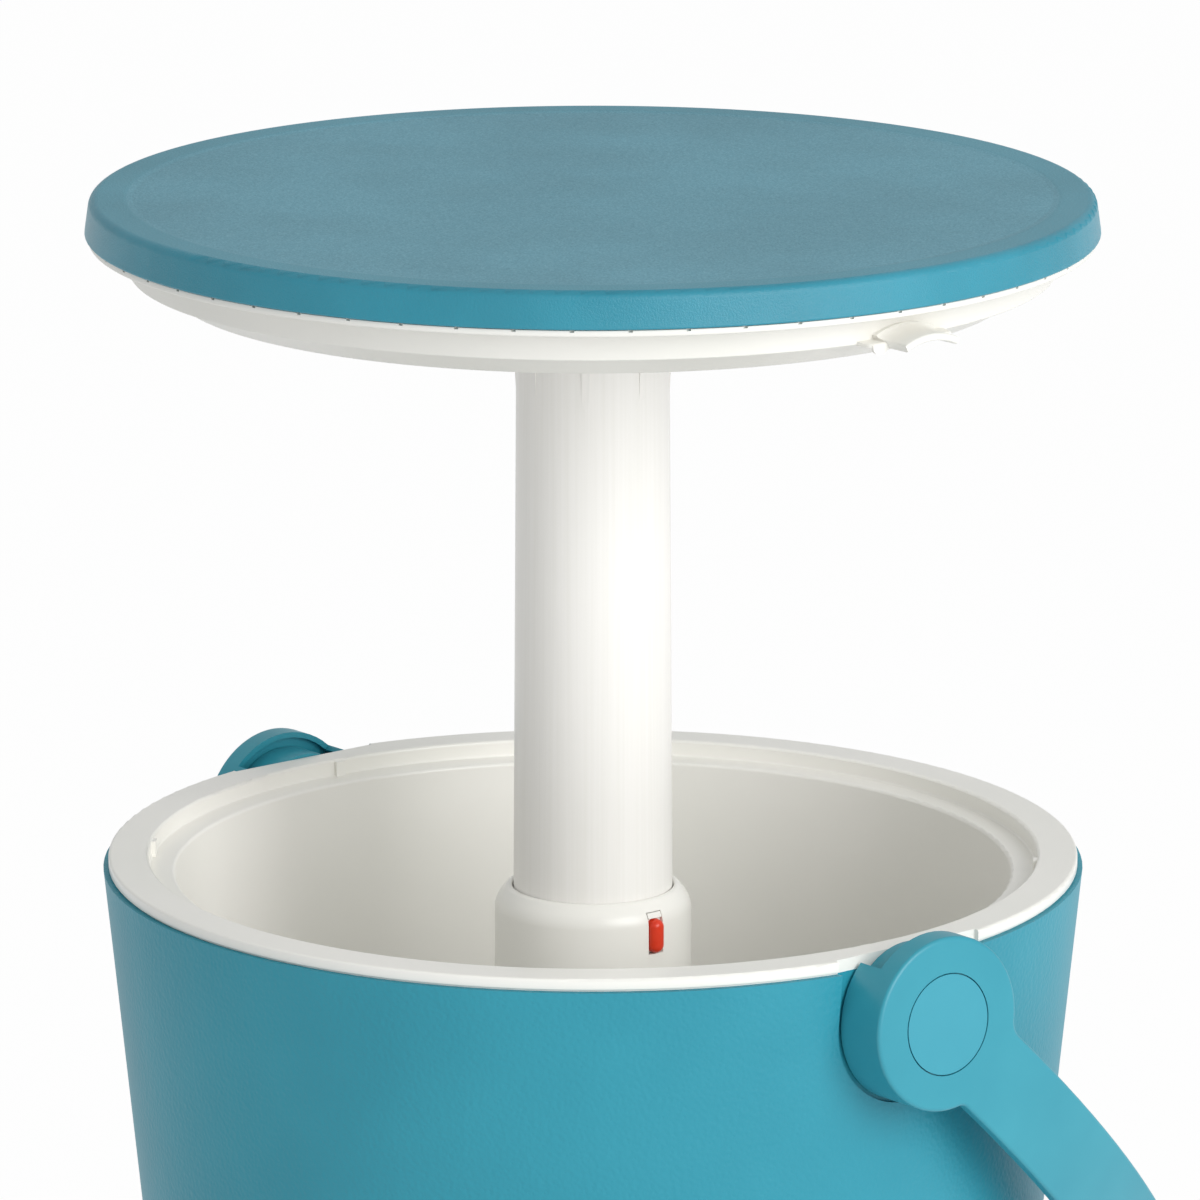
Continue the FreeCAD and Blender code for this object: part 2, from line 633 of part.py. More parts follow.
def make_button_carrier():
    # A slider behind the window, with a pad that closes the window above the button
    low = BUTTON_Z - BUTTON_HEIGHT / 2
    high = BUTTON_Z + BUTTON_HEIGHT / 2
    plate = block(
        (CARRIER_BACK_X, -CARRIER_HALF_WIDTH, low),
        (CARRIER_FRONT_X, CARRIER_HALF_WIDTH, high))
    pad_half = BUTTON_WIDTH / 2
    pad_top = WINDOW_TOP - RUNNING_GAP
    riser = block((CARRIER_BACK_X, -pad_half, high), (CARRIER_FRONT_X, pad_half, pad_top))
    pad = block(
        (CARRIER_BACK_X, -pad_half, high + RUNNING_GAP),
        (BUTTON_FACE_X, pad_half, pad_top))
    socket = crosswise(BUTTON_STEM_RADIUS + FIT_GAP, CARRIER_BACK_X, CARRIER_FRONT_X, 0, BUTTON_Z)
    form = fused([riser, pad]).common(collar_outside())
    return fused([plate, form]).cut(socket)


def make_release_button():
    # A pill outline in the YZ plane, run along X, on a round stem
    half = BUTTON_WIDTH / 2
    reach = BUTTON_HEIGHT / 2 - half
    head = fused([
        crosswise(half, CARRIER_FRONT_X, BUTTON_FACE_X, 0, BUTTON_Z - reach),
        crosswise(half, CARRIER_FRONT_X, BUTTON_FACE_X, 0, BUTTON_Z + reach),
        block(
            (CARRIER_FRONT_X, -half, BUTTON_Z - reach),
            (BUTTON_FACE_X, half, BUTTON_Z + reach))])
    rim = [edge for edge in head.Edges if edge.BoundBox.XMin > BUTTON_FACE_X - FIT_GAP]
    stem = crosswise(BUTTON_STEM_RADIUS, CARRIER_BACK_X, CARRIER_FRONT_X, 0, BUTTON_Z)
    return fused([head.makeFillet(BUTTON_ROUND, rim), stem])


def make_button_springs():
    pitch = (SPRING_LENGTH - 4 * SPRING_WIRE_RADIUS) / SPRING_TURNS
    springs = []
    for side in (-SPRING_SIDE, SPRING_SIDE):
        helix = Part.makeHelix(pitch, pitch * SPRING_TURNS, SPRING_RADIUS)
        circle = Part.Circle(vec(SPRING_RADIUS, 0, 0), vec(0, 1, 0), SPRING_WIRE_RADIUS)
        section = Part.Wire([circle.toShape()])
        spring = Part.Wire(helix.Edges).makePipeShell([section], True, True)
        spring.rotate(vec(0, 0, 0), vec(0, 1, 0), 90)
        spring.translate(vec(-SPRING_LENGTH / 2 + 2 * SPRING_WIRE_RADIUS, side, SPRING_Z))
        springs.append(spring)
    return group(springs)


# Column

def column_gusset():
    inner = COLUMN_TOP_RADIUS - COLUMN_WALL / 2
    root = column_radius(TRAY_UNDERSIDE - GUSSET_HEIGHT)
    corners = [
        (inner, TRAY_UNDERSIDE - GUSSET_HEIGHT),
        (root, TRAY_UNDERSIDE - GUSSET_HEIGHT),
        (COLUMN_TOP_RADIUS + GUSSET_REACH, TRAY_UNDERSIDE),
        (inner, TRAY_UNDERSIDE)]
    half = GUSSET_THICKNESS / 2
    face = Part.Face(outline(corners, lambda r, z: vec(r, -half, z)))
    return face.extrude(vec(0, GUSSET_THICKNESS, 0))


def head_screw_places(radius, low, high):
    place = upright(radius, low, high, COLUMN_HEAD_SCREW_CIRCLE)
    return ring_of(place, COLUMN_HEAD_SCREW_COUNT, COLUMN_HEAD_SCREW_START)


def foot_screw_places(radius, low, high):
    place = upright(radius, low, high, FOOT_SCREW_CIRCLE)
    return ring_of(place, FOOT_SCREW_COUNT, FOOT_SCREW_START)


def make_column():
    head_base = TRAY_UNDERSIDE - COLUMN_HEAD_THICKNESS
    tube = turned([
        (column_radius(COLUMN_BASE) - COLUMN_WALL, COLUMN_BASE),
        (column_radius(COLUMN_BASE), COLUMN_BASE),
        (COLUMN_TOP_RADIUS, TRAY_UNDERSIDE),
        (0, TRAY_UNDERSIDE),
        (0, head_base),
        (column_radius(head_base) - COLUMN_WALL, head_base)])
    groove_half = GROOVE_WIDTH / 2
    filled = turned([
        (0, COLUMN_BASE),
        (column_radius(COLUMN_BASE) - COLUMN_WALL / 2, COLUMN_BASE),
        (COLUMN_TOP_RADIUS - COLUMN_WALL / 2, TRAY_UNDERSIDE),
        (0, TRAY_UNDERSIDE)])
    channel_back = filled.common(block(
        (-column_radius(COLUMN_BASE), -groove_half - COLUMN_WALL, COLUMN_BASE),
        (-GROOVE_BACK, groove_half + COLUMN_WALL, TRAY_UNDERSIDE)))
    low_boss_top = COLUMN_BASE + SCREW_BOSS_HEIGHT
    bosses = foot_screw_places(SCREW_BOSS_RADIUS, COLUMN_BASE, low_boss_top)
    bosses += head_screw_places(SCREW_BOSS_RADIUS, head_base - SCREW_BOSS_HEIGHT / 2, head_base)
    column = fused([tube, channel_back] + bosses + ring_of(column_gusset(), GUSSET_COUNT))
    far = -column_radius(COLUMN_BASE) - COLUMN_WALL
    groove_top = LATCH_TOP + TRAVEL + TOOTH_GAP
    groove = block((far, -groove_half, COLUMN_BASE), (-GROOVE_FLOOR, groove_half, groove_top))
    notch = block(
        (-GROOVE_FLOOR, -groove_half, LATCH_BASE - RUNNING_GAP),
        (-GROOVE_FLOOR + LATCH_NOTCH_DEPTH, groove_half, LATCH_TOP + RUNNING_GAP))
    threads = foot_screw_places(SCREW_RADIUS + FIT_GAP, COLUMN_BASE, low_boss_top)
    threads += head_screw_places(
        SCREW_RADIUS + FIT_GAP, head_base - SCREW_BOSS_HEIGHT / 2, TRAY_UNDERSIDE)
    return column.cut([groove, notch] + threads)


def make_column_foot():
    wall_inner = column_radius(COLUMN_BASE) + FIT_GAP
    foot = turned([
        (FOOT_HOLE_RADIUS, FOOT_BASE),
        (FOOT_RADIUS, FOOT_BASE, 0.8),
        (FOOT_RADIUS, FOOT_TOP),
        (wall_inner, FOOT_TOP),
        (wall_inner, COLUMN_BASE),
        (FOOT_HOLE_RADIUS, COLUMN_BASE)])
    return foot.cut(foot_screw_places(SCREW_RADIUS + FIT_GAP, FOOT_BASE, COLUMN_BASE))


def make_foot_screws():
    length = FOOT_FLOOR + SCREW_BOSS_HEIGHT - SCREW_RADIUS
    screw = screw_up(SCREW_HEAD_RADIUS, SCREW_RADIUS, FOOT_BASE, length, FOOT_SCREW_CIRCLE, 0)
    return group(ring_of(screw, FOOT_SCREW_COUNT, FOOT_SCREW_START))


def make_column_screws():
    length = TRAY_WALL + COLUMN_HEAD_THICKNESS + SCREW_RADIUS
    screw = screw_down(
        SCREW_HEAD_RADIUS, SCREW_RADIUS, TRAY_FLOOR_TOP, length, COLUMN_HEAD_SCREW_CIRCLE, 0)
    return group(ring_of(screw, COLUMN_HEAD_SCREW_COUNT, COLUMN_HEAD_SCREW_START))


# Lid tray

def lock_tab():
    # The arched tongue that the handle's skirt turns over, its wide base and an apron
    inner_x = TRAY_SEAT_RADIUS - TRAY_WALL / 2
    base_x = POCKET_X - FOAM_GAP
    apron_x = (POCKET_X + APRON_REAR_GAP, SKIRT_REAR_X - RUNNING_GAP)
    arch = crosswise(TAB_OUTER_RADIUS, inner_x, TAB_TIP_X, 0, TAB_AXIS_Z)
    above = TRAY_SEAT_Z + TAB_THICKNESS
    tongue = arch.cut(crosswise(TAB_INNER_RADIUS, inner_x, TAB_TIP_X, 0, TAB_AXIS_Z))
    tongue = tongue.common(block(
        (base_x, -TAB_HALF_WIDTH, TRAY_SEAT_Z - TAB_THICKNESS),
        (TAB_TIP_X, TAB_HALF_WIDTH, TRAY_LIP_UNDERSIDE)))
    crown = arch.common(block(
        (inner_x, -TAB_HALF_WIDTH, TRAY_SEAT_Z),
        (base_x, TAB_HALF_WIDTH, TRAY_LIP_UNDERSIDE)))
    base = block(
        (inner_x, -TAB_BASE_HALF_WIDTH, TRAY_SEAT_Z),
        (apron_x[1], TAB_BASE_HALF_WIDTH, above))
    hub_room = crosswise(HUB_RADIUS + RUNNING_GAP, base_x, TAB_TIP_X, 0, TAB_AXIS_Z)
    return fused([tongue, crown, base, lock_apron(*apron_x)]).cut(hub_room)


def lock_apron(start_x, end_x):
    # A thin plate below one end of the base, its outer lower corner rounded
    low = TRAY_SEAT_Z - APRON_DROP
    outer = -TAB_BASE_HALF_WIDTH
    plate = block(
        (start_x, outer, low),
        (end_x, outer + APRON_WIDTH, TRAY_SEAT_Z + TAB_THICKNESS))
    corner = vec((start_x + end_x) / 2, outer, low)
    rounded = [edge for edge in plate.Edges if middle_of(edge).distanceToPoint(corner) < FIT_GAP]
    return plate.makeFillet(APRON_ROUND, rounded)


def table_screw_places(radius, low, high):
    place = upright(radius, low, high, TABLE_SCREW_CIRCLE)
    return ring_of(place, TABLE_SCREW_COUNT, TABLE_SCREW_START)


def make_tray():
    skirt_lean = (TABLE_RADIUS - TABLE_EDGE_RADIUS) / (TABLE_UNDERSIDE - TRAY_LIP_TOP)
    spigot_outer = TABLE_RADIUS - TABLE_WALL - skirt_lean * TRAY_SPIGOT_HEIGHT - RUNNING_GAP
    spigot_inner = spigot_outer - TRAY_SPIGOT_THICKNESS
    spigot_top = TRAY_LIP_TOP + TRAY_SPIGOT_HEIGHT
    body = turned([
        (0, TRAY_UNDERSIDE),
        (TRAY_FLAT_RADIUS, TRAY_UNDERSIDE, TRAY_CONE_ROUND),
        (TRAY_SEAT_RADIUS - TRAY_SEAT_WIDTH, TRAY_SEAT_Z, TRAY_EDGE_ROUND),
        (TRAY_SEAT_RADIUS, TRAY_SEAT_Z, TRAY_EDGE_ROUND),
        (TRAY_WALL_TOP_RADIUS, TRAY_LIP_UNDERSIDE, TRAY_EDGE_ROUND),
        (TRAY_LIP_RADIUS, TRAY_LIP_UNDERSIDE, TRAY_EDGE_ROUND),
        (TRAY_LIP_RADIUS, TRAY_LIP_TOP),
        (spigot_outer, TRAY_LIP_TOP),
        (spigot_outer, spigot_top),
        (spigot_inner, spigot_top),
        (spigot_inner, TRAY_LIP_TOP),
        (TRAY_WALL_TOP_RADIUS - TRAY_WALL, TRAY_LIP_TOP),
        (TRAY_SEAT_RADIUS - TRAY_WALL, TRAY_SEAT_Z + TRAY_WALL),
        (TRAY_SEAT_RADIUS - TRAY_SEAT_WIDTH, TRAY_SEAT_Z + TRAY_WALL),
        (TRAY_FLAT_RADIUS - TRAY_WALL / 2, TRAY_FLOOR_TOP),
        (0, TRAY_FLOOR_TOP)])
    tray = fused([body, lock_tab(), spun(lock_tab(), 180)])
    holes = table_screw_places(SCREW_RADIUS + FIT_GAP, TRAY_UNDERSIDE, TRAY_FLOOR_TOP)
    holes += head_screw_places(SCREW_RADIUS + FIT_GAP, TRAY_UNDERSIDE, TRAY_FLOOR_TOP)
    return tray.cut(holes)


def make_lid_foam():
    top = TABLE_UNDERSIDE - FOAM_GAP
    wall = TRAY_SEAT_RADIUS - TRAY_WALL - FOAM_GAP
    seat_top = TRAY_SEAT_Z + TRAY_WALL + FOAM_GAP
    foam = turned([
        (0, TRAY_FLOOR_TOP),
        (TRAY_FLAT_RADIUS - TRAY_WALL, TRAY_FLOOR_TOP),
        (TRAY_SEAT_RADIUS - TRAY_SEAT_WIDTH - TRAY_WALL / 2, seat_top),
        (wall, seat_top),
        (wall, top),
        (0, top)])
    boss_holes = table_screw_places(TABLE_BOSS_RADIUS + FOAM_GAP, TRAY_FLOOR_TOP, top)
    head_room = head_screw_places(
        SCREW_HEAD_RADIUS + FOAM_GAP, TRAY_FLOOR_TOP, TRAY_FLOOR_TOP + SCREW_HEAD_HEIGHT + FOAM_GAP)
    return foam.cut(boss_holes + head_room)


def make_table_top():
    ring_outer = TABLE_EDGE_RADIUS - TABLE_RING_INSET
    body = turned([
        (0, TABLE_FACE),
        (ring_outer - TABLE_RING_SLOPE, TABLE_FACE, TABLE_RING_ROUND),
        (ring_outer, TABLE_TOP, TABLE_RING_ROUND),
        (TABLE_EDGE_RADIUS, TABLE_TOP, TABLE_EDGE_ROUND),
        (TABLE_RADIUS, TRAY_LIP_TOP, TABLE_SKIRT_ROUND),
        (TABLE_RADIUS - TABLE_WALL, TRAY_LIP_TOP),
        (TABLE_EDGE_RADIUS - TABLE_WALL, TABLE_UNDERSIDE, TABLE_RING_ROUND),
        (0, TABLE_UNDERSIDE)])
    bosses = table_screw_places(TABLE_BOSS_RADIUS, TRAY_FLOOR_TOP, TABLE_UNDERSIDE)
    threads = table_screw_places(SCREW_RADIUS + FIT_GAP, TRAY_FLOOR_TOP, TABLE_UNDERSIDE)
    return fused([body] + bosses).cut(threads)


def make_table_screws():
    length = TRAY_WALL + SCREW_BOSS_HEIGHT
    screw = screw_up(
        SCREW_HEAD_RADIUS, SCREW_RADIUS, TRAY_UNDERSIDE, length, TABLE_SCREW_CIRCLE, 0)
    return group(ring_of(screw, TABLE_SCREW_COUNT, TABLE_SCREW_START))


# Handle pivots

def make_pivot_hub():
    body = crosswise(HUB_RADIUS, POCKET_X, HUB_FACE_X)
    hollow = crosswise(HUB_RADIUS - HUB_WALL, POCKET_X, HUB_FACE_X - HUB_WALL)
    posts = [crosswise(2 * PIVOT_SCREW_RADIUS + HUB_WALL, POCKET_X, HUB_FACE_X)]
    for y, z in hub_screw_places():
        posts.append(crosswise(SCREW_BOSS_RADIUS, POCKET_X, HUB_FACE_X, y, z))
    journal = crosswise(JOURNAL_RADIUS, HUB_FACE_X, JOURNAL_END_X)
    hub = fused([body.cut(hollow), journal] + posts)
    bores = [crosswise(PIVOT_SCREW_RADIUS + FIT_GAP, JOURNAL_END_X - PIVOT_SCREW_LENGTH, JOURNAL_END_X)]
    for y, z in hub_screw_places():
        bores.append(crosswise(SCREW_RADIUS + FIT_GAP, POCKET_X, HUB_FACE_X, y, z))
        head_x = HUB_FACE_X - SCREW_HEAD_HEIGHT - RUNNING_GAP
        bores.append(crosswise(SCREW_HEAD_RADIUS + FOAM_GAP, head_x, HUB_FACE_X, y, z))
    return hub.cut(bores)


def make_hub_screws():
    screws = []
    head_x = HUB_FACE_X - SCREW_HEAD_HEIGHT - RUNNING_GAP
    for y, z in hub_screw_places():
        head = crosswise(SCREW_HEAD_RADIUS, head_x, head_x + SCREW_HEAD_HEIGHT, y, z)
        shank = crosswise(SCREW_RADIUS, POCKET_X - SHELL_WALL, head_x, y, z)
        screws += both_sides(fused([head, shank]))
    return group(screws)


def make_pivot_washers():
    washer = crosswise(WASHER_RADIUS, JOURNAL_END_X, JOURNAL_END_X + WASHER_THICKNESS)
    hole = crosswise(
        PIVOT_SCREW_RADIUS + FIT_GAP, JOURNAL_END_X, JOURNAL_END_X + WASHER_THICKNESS)
    return group(both_sides(washer.cut(hole)))


def make_pivot_screws():
    head_x = JOURNAL_END_X + WASHER_THICKNESS
    head = crosswise(PIVOT_SCREW_HEAD_RADIUS, head_x, head_x + PIVOT_SCREW_HEAD_HEIGHT)
    shank = crosswise(PIVOT_SCREW_RADIUS, JOURNAL_END_X - PIVOT_SCREW_LENGTH, head_x)
    return group(both_sides(fused([head, shank])))


# Handle, drawn flat with the pivot at the origin and the grip towards +Y, then hung

def rest_angle():
    # The lower inner corner of the grip rests on the tapered wall with a running gap
    corner_along = HANDLE_REACH - STRAP_THICKNESS
    corner_down = STRAP_WIDTH / 2 + STRAP_OFFSET
    distance = math.hypot(corner_along, corner_down)
    wall_angle = math.atan(SHELL_TAPER)
    wall = (shell_radius(PIVOT_Z) + RUNNING_GAP) * math.cos(wall_angle)
    corner_angle = -math.acos(wall / distance) - wall_angle
    return math.degrees(corner_angle + math.atan2(corner_down, corner_along))


def hang(shape):
    placed = shape.copy()
    placed.rotate(vec(0, 0, 0), vec(1, 0, 0), rest_angle())
    placed.translate(vec(0, 0, PIVOT_Z))
    return placed


def arm_centre():
    return ARM_FACE_X - math.sqrt(ARM_ARC_RADIUS ** 2 - ARM_ARC_SHIFT ** 2)


def arm_angle(along):
    # The turn of the arm's curve at a distance from the pivot
    return math.asin((along - ARM_ARC_SHIFT) / ARM_ARC_RADIUS)


def arm_point(inset, angle):
    # A point on the arm's curve, inset from its outer face
    reach = ARM_ARC_RADIUS - inset
    return vec(arm_centre() + reach * math.cos(angle), ARM_ARC_SHIFT + reach * math.sin(angle), 0)


def foot_point(inset):
    # Beyond the drum, at the end of the straight face that the curve runs out in
    angle = arm_angle(ARM_CURVE_START)
    start = arm_point(inset, angle)
    run = start.y + HANDLE_FORM_DEPTH
    return vec(start.x + run * math.tan(angle), -HANDLE_FORM_DEPTH, 0)


def corner_radius():
    # The corner arc leaves the arm tangentially and ends level with the grip
    turn = arm_angle(ARM_LENGTH)
    return (HANDLE_REACH - ARM_LENGTH) / (1 - math.sin(turn)), turn


def corner_point(inset, angle):
    radius, turn = corner_radius()
    arm_end = arm_point(0, turn)
    centre_x = arm_end.x - radius * math.cos(turn)
    centre_y = HANDLE_REACH - radius
    reach = radius - inset
    return vec(centre_x + reach * math.cos(angle), centre_y + reach * math.sin(angle), 0)


def half_strap_edges(inset):
    # Straight over the drum, along the arm and round the corner to the start of the straight grip
    start = arm_angle(ARM_CURVE_START)
    turn = corner_radius()[1]
    straight = Part.LineSegment(foot_point(inset), arm_point(inset, start))
    arm = Part.Arc(
        arm_point(inset, start),
        arm_point(inset, (start + turn) / 2),
        arm_point(inset, turn))
    corner = Part.Arc(
        corner_point(inset, turn),
        corner_point(inset, (turn + math.pi / 2) / 2),
        corner_point(inset, math.pi / 2))
    return [straight.toShape(), arm.toShape(), corner.toShape()]


def loop_form(inset):
    # Everything inside the handle's outer face, inset by a wall and closed below the drums
    right = half_strap_edges(inset)
    flip = FreeCAD.Matrix()
    flip.A11 = -1
    left = [edge.transformGeometry(flip) for edge in right]
    top = corner_point(inset, math.pi / 2)
    foot = foot_point(inset)
    lines = [
        Part.LineSegment(vec(-top.x, top.y, 0), top).toShape(),
        Part.LineSegment(vec(-foot.x, foot.y, 0), foot).toShape()]
    face = Part.Face(Part.Wire(Part.__sortEdges__(right + left + lines)))
    face.translate(vec(0, 0, -HANDLE_FORM_DEPTH))
    return face.extrude(vec(0, 0, 2 * HANDLE_FORM_DEPTH))


def axle(radius, start_x, end_x):
    return crosswise(radius, start_x, end_x, 0, 0)


def handle_blank(outer, inner):
    # The strap and both drums, trimmed together to the outer face
    far = ARM_FACE_X + STRAP_THICKNESS
    strap = block((-far, 0, STRAP_LOW), (far, HANDLE_REACH + STRAP_THICKNESS, STRAP_HIGH))
    drum = axle(DRUM_RADIUS, SKIRT_REAR_X, far)
    return strap.cut(inner).multiFuse(both_sides(drum)).common(outer).removeSplitter()


def middle_of(edge):
    return edge.valueAt((edge.FirstParameter + edge.LastParameter) / 2)


def direction_of(edge):
    return edge.tangentAt((edge.FirstParameter + edge.LastParameter) / 2)


def is_strap_edge(point):
    return min(abs(point.z - STRAP_LOW), abs(point.z - STRAP_HIGH)) < FIT_GAP / 5


def junction_edges(solid, level):
    # The two edges where one side of the strap leaves the drums
    found = []
    for edge in solid.Edges:
        point = middle_of(edge)
        on_drum = abs(math.hypot(point.y, point.z) - DRUM_RADIUS) < FIT_GAP / 5
        at_level = abs(point.z - level) < FIT_GAP / 5
        if on_drum and at_level and abs(direction_of(edge).x) > 0.9:
            found.append(edge)
    return found


def lies_on(form, point):
    sides = [face for face in form.Faces if abs(face.normalAt(0, 0).z) < 0.5]
    return min(face.distToShape(Part.Vertex(point))[0] for face in sides) < FIT_GAP / 5


def outer_and_strap_edges(solid, outer, inner):
    found = []
    for edge in solid.Edges:
        point = middle_of(edge)
        if abs(direction_of(edge).z) > 0.999:
            continue
        if lies_on(outer, point) or (is_strap_edge(point) and lies_on(inner, point)):
            found.append(edge)
    return found


def handle_body():
    outer = loop_form(0)
    inner = loop_form(STRAP_THICKNESS)
    body = handle_blank(outer, inner)
    body = body.makeFillet(STRAP_UPPER_BLEND, junction_edges(body, STRAP_HIGH))
    body = body.makeFillet(STRAP_LOWER_BLEND, junction_edges(body, STRAP_LOW))
    return body.makeFillet(STRAP_EDGE_ROUND, outer_and_strap_edges(body, outer, inner))


def skirt_cutback():
    # The sector of the skirt that is shorter at rest, so that the lid tab can drop in
    start = CUTBACK_START - rest_angle()
    sweep = CUTBACK_END - CUTBACK_START
    rear = SKIRT_REAR_X - DRUM_REAR_GAP
    sector = Part.makeCylinder(
        DRUM_RADIUS + DRUM_SKIRT_WALL,
        SKIRT_REAR_X + DRUM_CUTBACK - rear,
        vec(rear, 0, 0),
        vec(1, 0, 0),
        sweep)
    return turned_to(sector, start)


def turned_to(sector, start):
    # Turn a sector about X so that it starts at an angle from +Y towards +Z
    middle = sector.CenterOfMass
    current = math.degrees(math.atan2(middle.z, middle.y))
    sweep = CUTBACK_END - CUTBACK_START
    sector.rotate(vec(0, 0, 0), vec(1, 0, 0), start + sweep / 2 - current)
    return sector


def make_handle():
    hollow = axle(SKIRT_INNER_RADIUS, SKIRT_REAR_X, DRUM_WEB_X)
    bore = axle(JOURNAL_RADIUS + JOURNAL_CLEARANCE, DRUM_WEB_X, WEB_OUTER_X)
    pocket = axle(CAP_POCKET_RADIUS, WEB_OUTER_X, ARM_FACE_X + STRAP_THICKNESS)
    seat = axle(CAP_RADIUS + CAP_GROOVE, DRUM_WEB_X, ARM_FACE_X + STRAP_THICKNESS)
    seat = seat.cut(loop_form(CAP_THICKNESS))
    cuts = []
    for tool in (hollow, bore, pocket, seat, skirt_cutback()):
        cuts += both_sides(tool)
    return hang(handle_body().cut(cuts))


def make_pivot_cap():
    disc = axle(CAP_RADIUS, DRUM_WEB_X, ARM_FACE_X + STRAP_THICKNESS)
    return hang(disc.common(loop_form(0)).cut(loop_form(CAP_THICKNESS)))


# The whole object

def make_parts():
    hub = make_pivot_hub()
    cap = make_pivot_cap()
    return {
        "outer_shell": make_outer_shell(),
        "anti_slip_mat": make_anti_slip_mat(),
        "inner_liner": make_inner_liner(),
        "insulation_foam": make_insulation_foam(),
        "guide_tube": make_guide_tube(),
        "tube_screws": make_tube_screws(),
        "guide_bush": make_guide_bush(),
        "guide_collar": make_guide_collar(),
        "pivot_hub_front": hub,
        "pivot_hub_rear": mirrored(hub),
        "hub_screws": make_hub_screws(),
        "pivot_washers": make_pivot_washers(),
        "pivot_screws": make_pivot_screws(),
        "table_top": make_table_top(),
        "lid_tray": make_tray(),
        "lid_foam": make_lid_foam(),
        "table_screws": make_table_screws(),
        "column": make_column(),
        "column_screws": make_column_screws(),
        "column_foot": make_column_foot(),
        "foot_screws": make_foot_screws(),
        "handle": make_handle(),
        "pivot_cap_front": cap,
        "pivot_cap_rear": mirrored(cap),
        "release_button": make_release_button(),
        "button_carrier": make_button_carrier(),
        "latch_plate": make_latch_plate(),
        "button_springs": make_button_springs(),
    }


os.makedirs("parts", exist_ok=True)
for name, shape in make_parts().items():
    save(name, shape)
print("rest angle %.2f, travel %.1f, top %.1f" % (rest_angle(), TRAVEL, TABLE_TOP))
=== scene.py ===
import json
import math

import bmesh
import bpy
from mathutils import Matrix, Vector


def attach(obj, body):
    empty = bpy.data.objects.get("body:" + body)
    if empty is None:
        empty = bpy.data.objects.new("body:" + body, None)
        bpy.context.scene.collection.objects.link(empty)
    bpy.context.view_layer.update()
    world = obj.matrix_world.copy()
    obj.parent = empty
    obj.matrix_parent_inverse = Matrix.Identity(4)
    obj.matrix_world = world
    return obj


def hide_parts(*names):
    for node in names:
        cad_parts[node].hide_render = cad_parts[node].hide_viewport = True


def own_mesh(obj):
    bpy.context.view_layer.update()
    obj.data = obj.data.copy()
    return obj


MM = 0.001

# How near a point has to be to a place to be picked, in millimetres
NEAR = 0.02

# Steps round a turned piece, and faces across a rounded edge
ROUND_STEPS = 192
ROUND_CUTS = 4
BEVEL_CUTS = 5
BAR_STEPS = 64
SMOOTH_ANGLE = 35

# The table's top, the face inside its ring, and the height above which both lie, in metres
TOP_RADIUS = 0.1716
FACE_RADIUS = 0.1615
FACE_LOW = 0.5838

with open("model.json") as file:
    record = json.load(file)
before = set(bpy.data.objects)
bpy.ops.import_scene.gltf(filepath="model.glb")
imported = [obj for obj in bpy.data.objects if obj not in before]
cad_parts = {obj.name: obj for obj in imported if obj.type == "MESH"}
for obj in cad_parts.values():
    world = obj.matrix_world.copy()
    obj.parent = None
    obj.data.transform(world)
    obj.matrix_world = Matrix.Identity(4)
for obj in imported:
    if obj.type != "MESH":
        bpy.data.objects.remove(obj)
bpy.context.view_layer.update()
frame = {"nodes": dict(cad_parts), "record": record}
record = frame["record"]

# Camera at the photograph's viewing angle
CAMERA_PLACE = (2.3028, -1.9086, 1.1493)
CAMERA_FORWARD = (-0.74862, 0.62152, -0.23084)
CAMERA_LENS = 263.2
CAMERA_SENSOR = 36
CAMERA_REACH = 100


def add_camera():
    bpy.ops.object.camera_add(location=CAMERA_PLACE)
    camera = bpy.context.object
    camera.rotation_mode = "QUATERNION"
    camera.rotation_quaternion = Vector(CAMERA_FORWARD).to_track_quat("-Z", "Y")
    camera.data.lens = CAMERA_LENS
    camera.data.sensor_width = CAMERA_SENSOR
    camera.data.clip_end = CAMERA_REACH
    bpy.context.scene.camera = camera


add_camera()


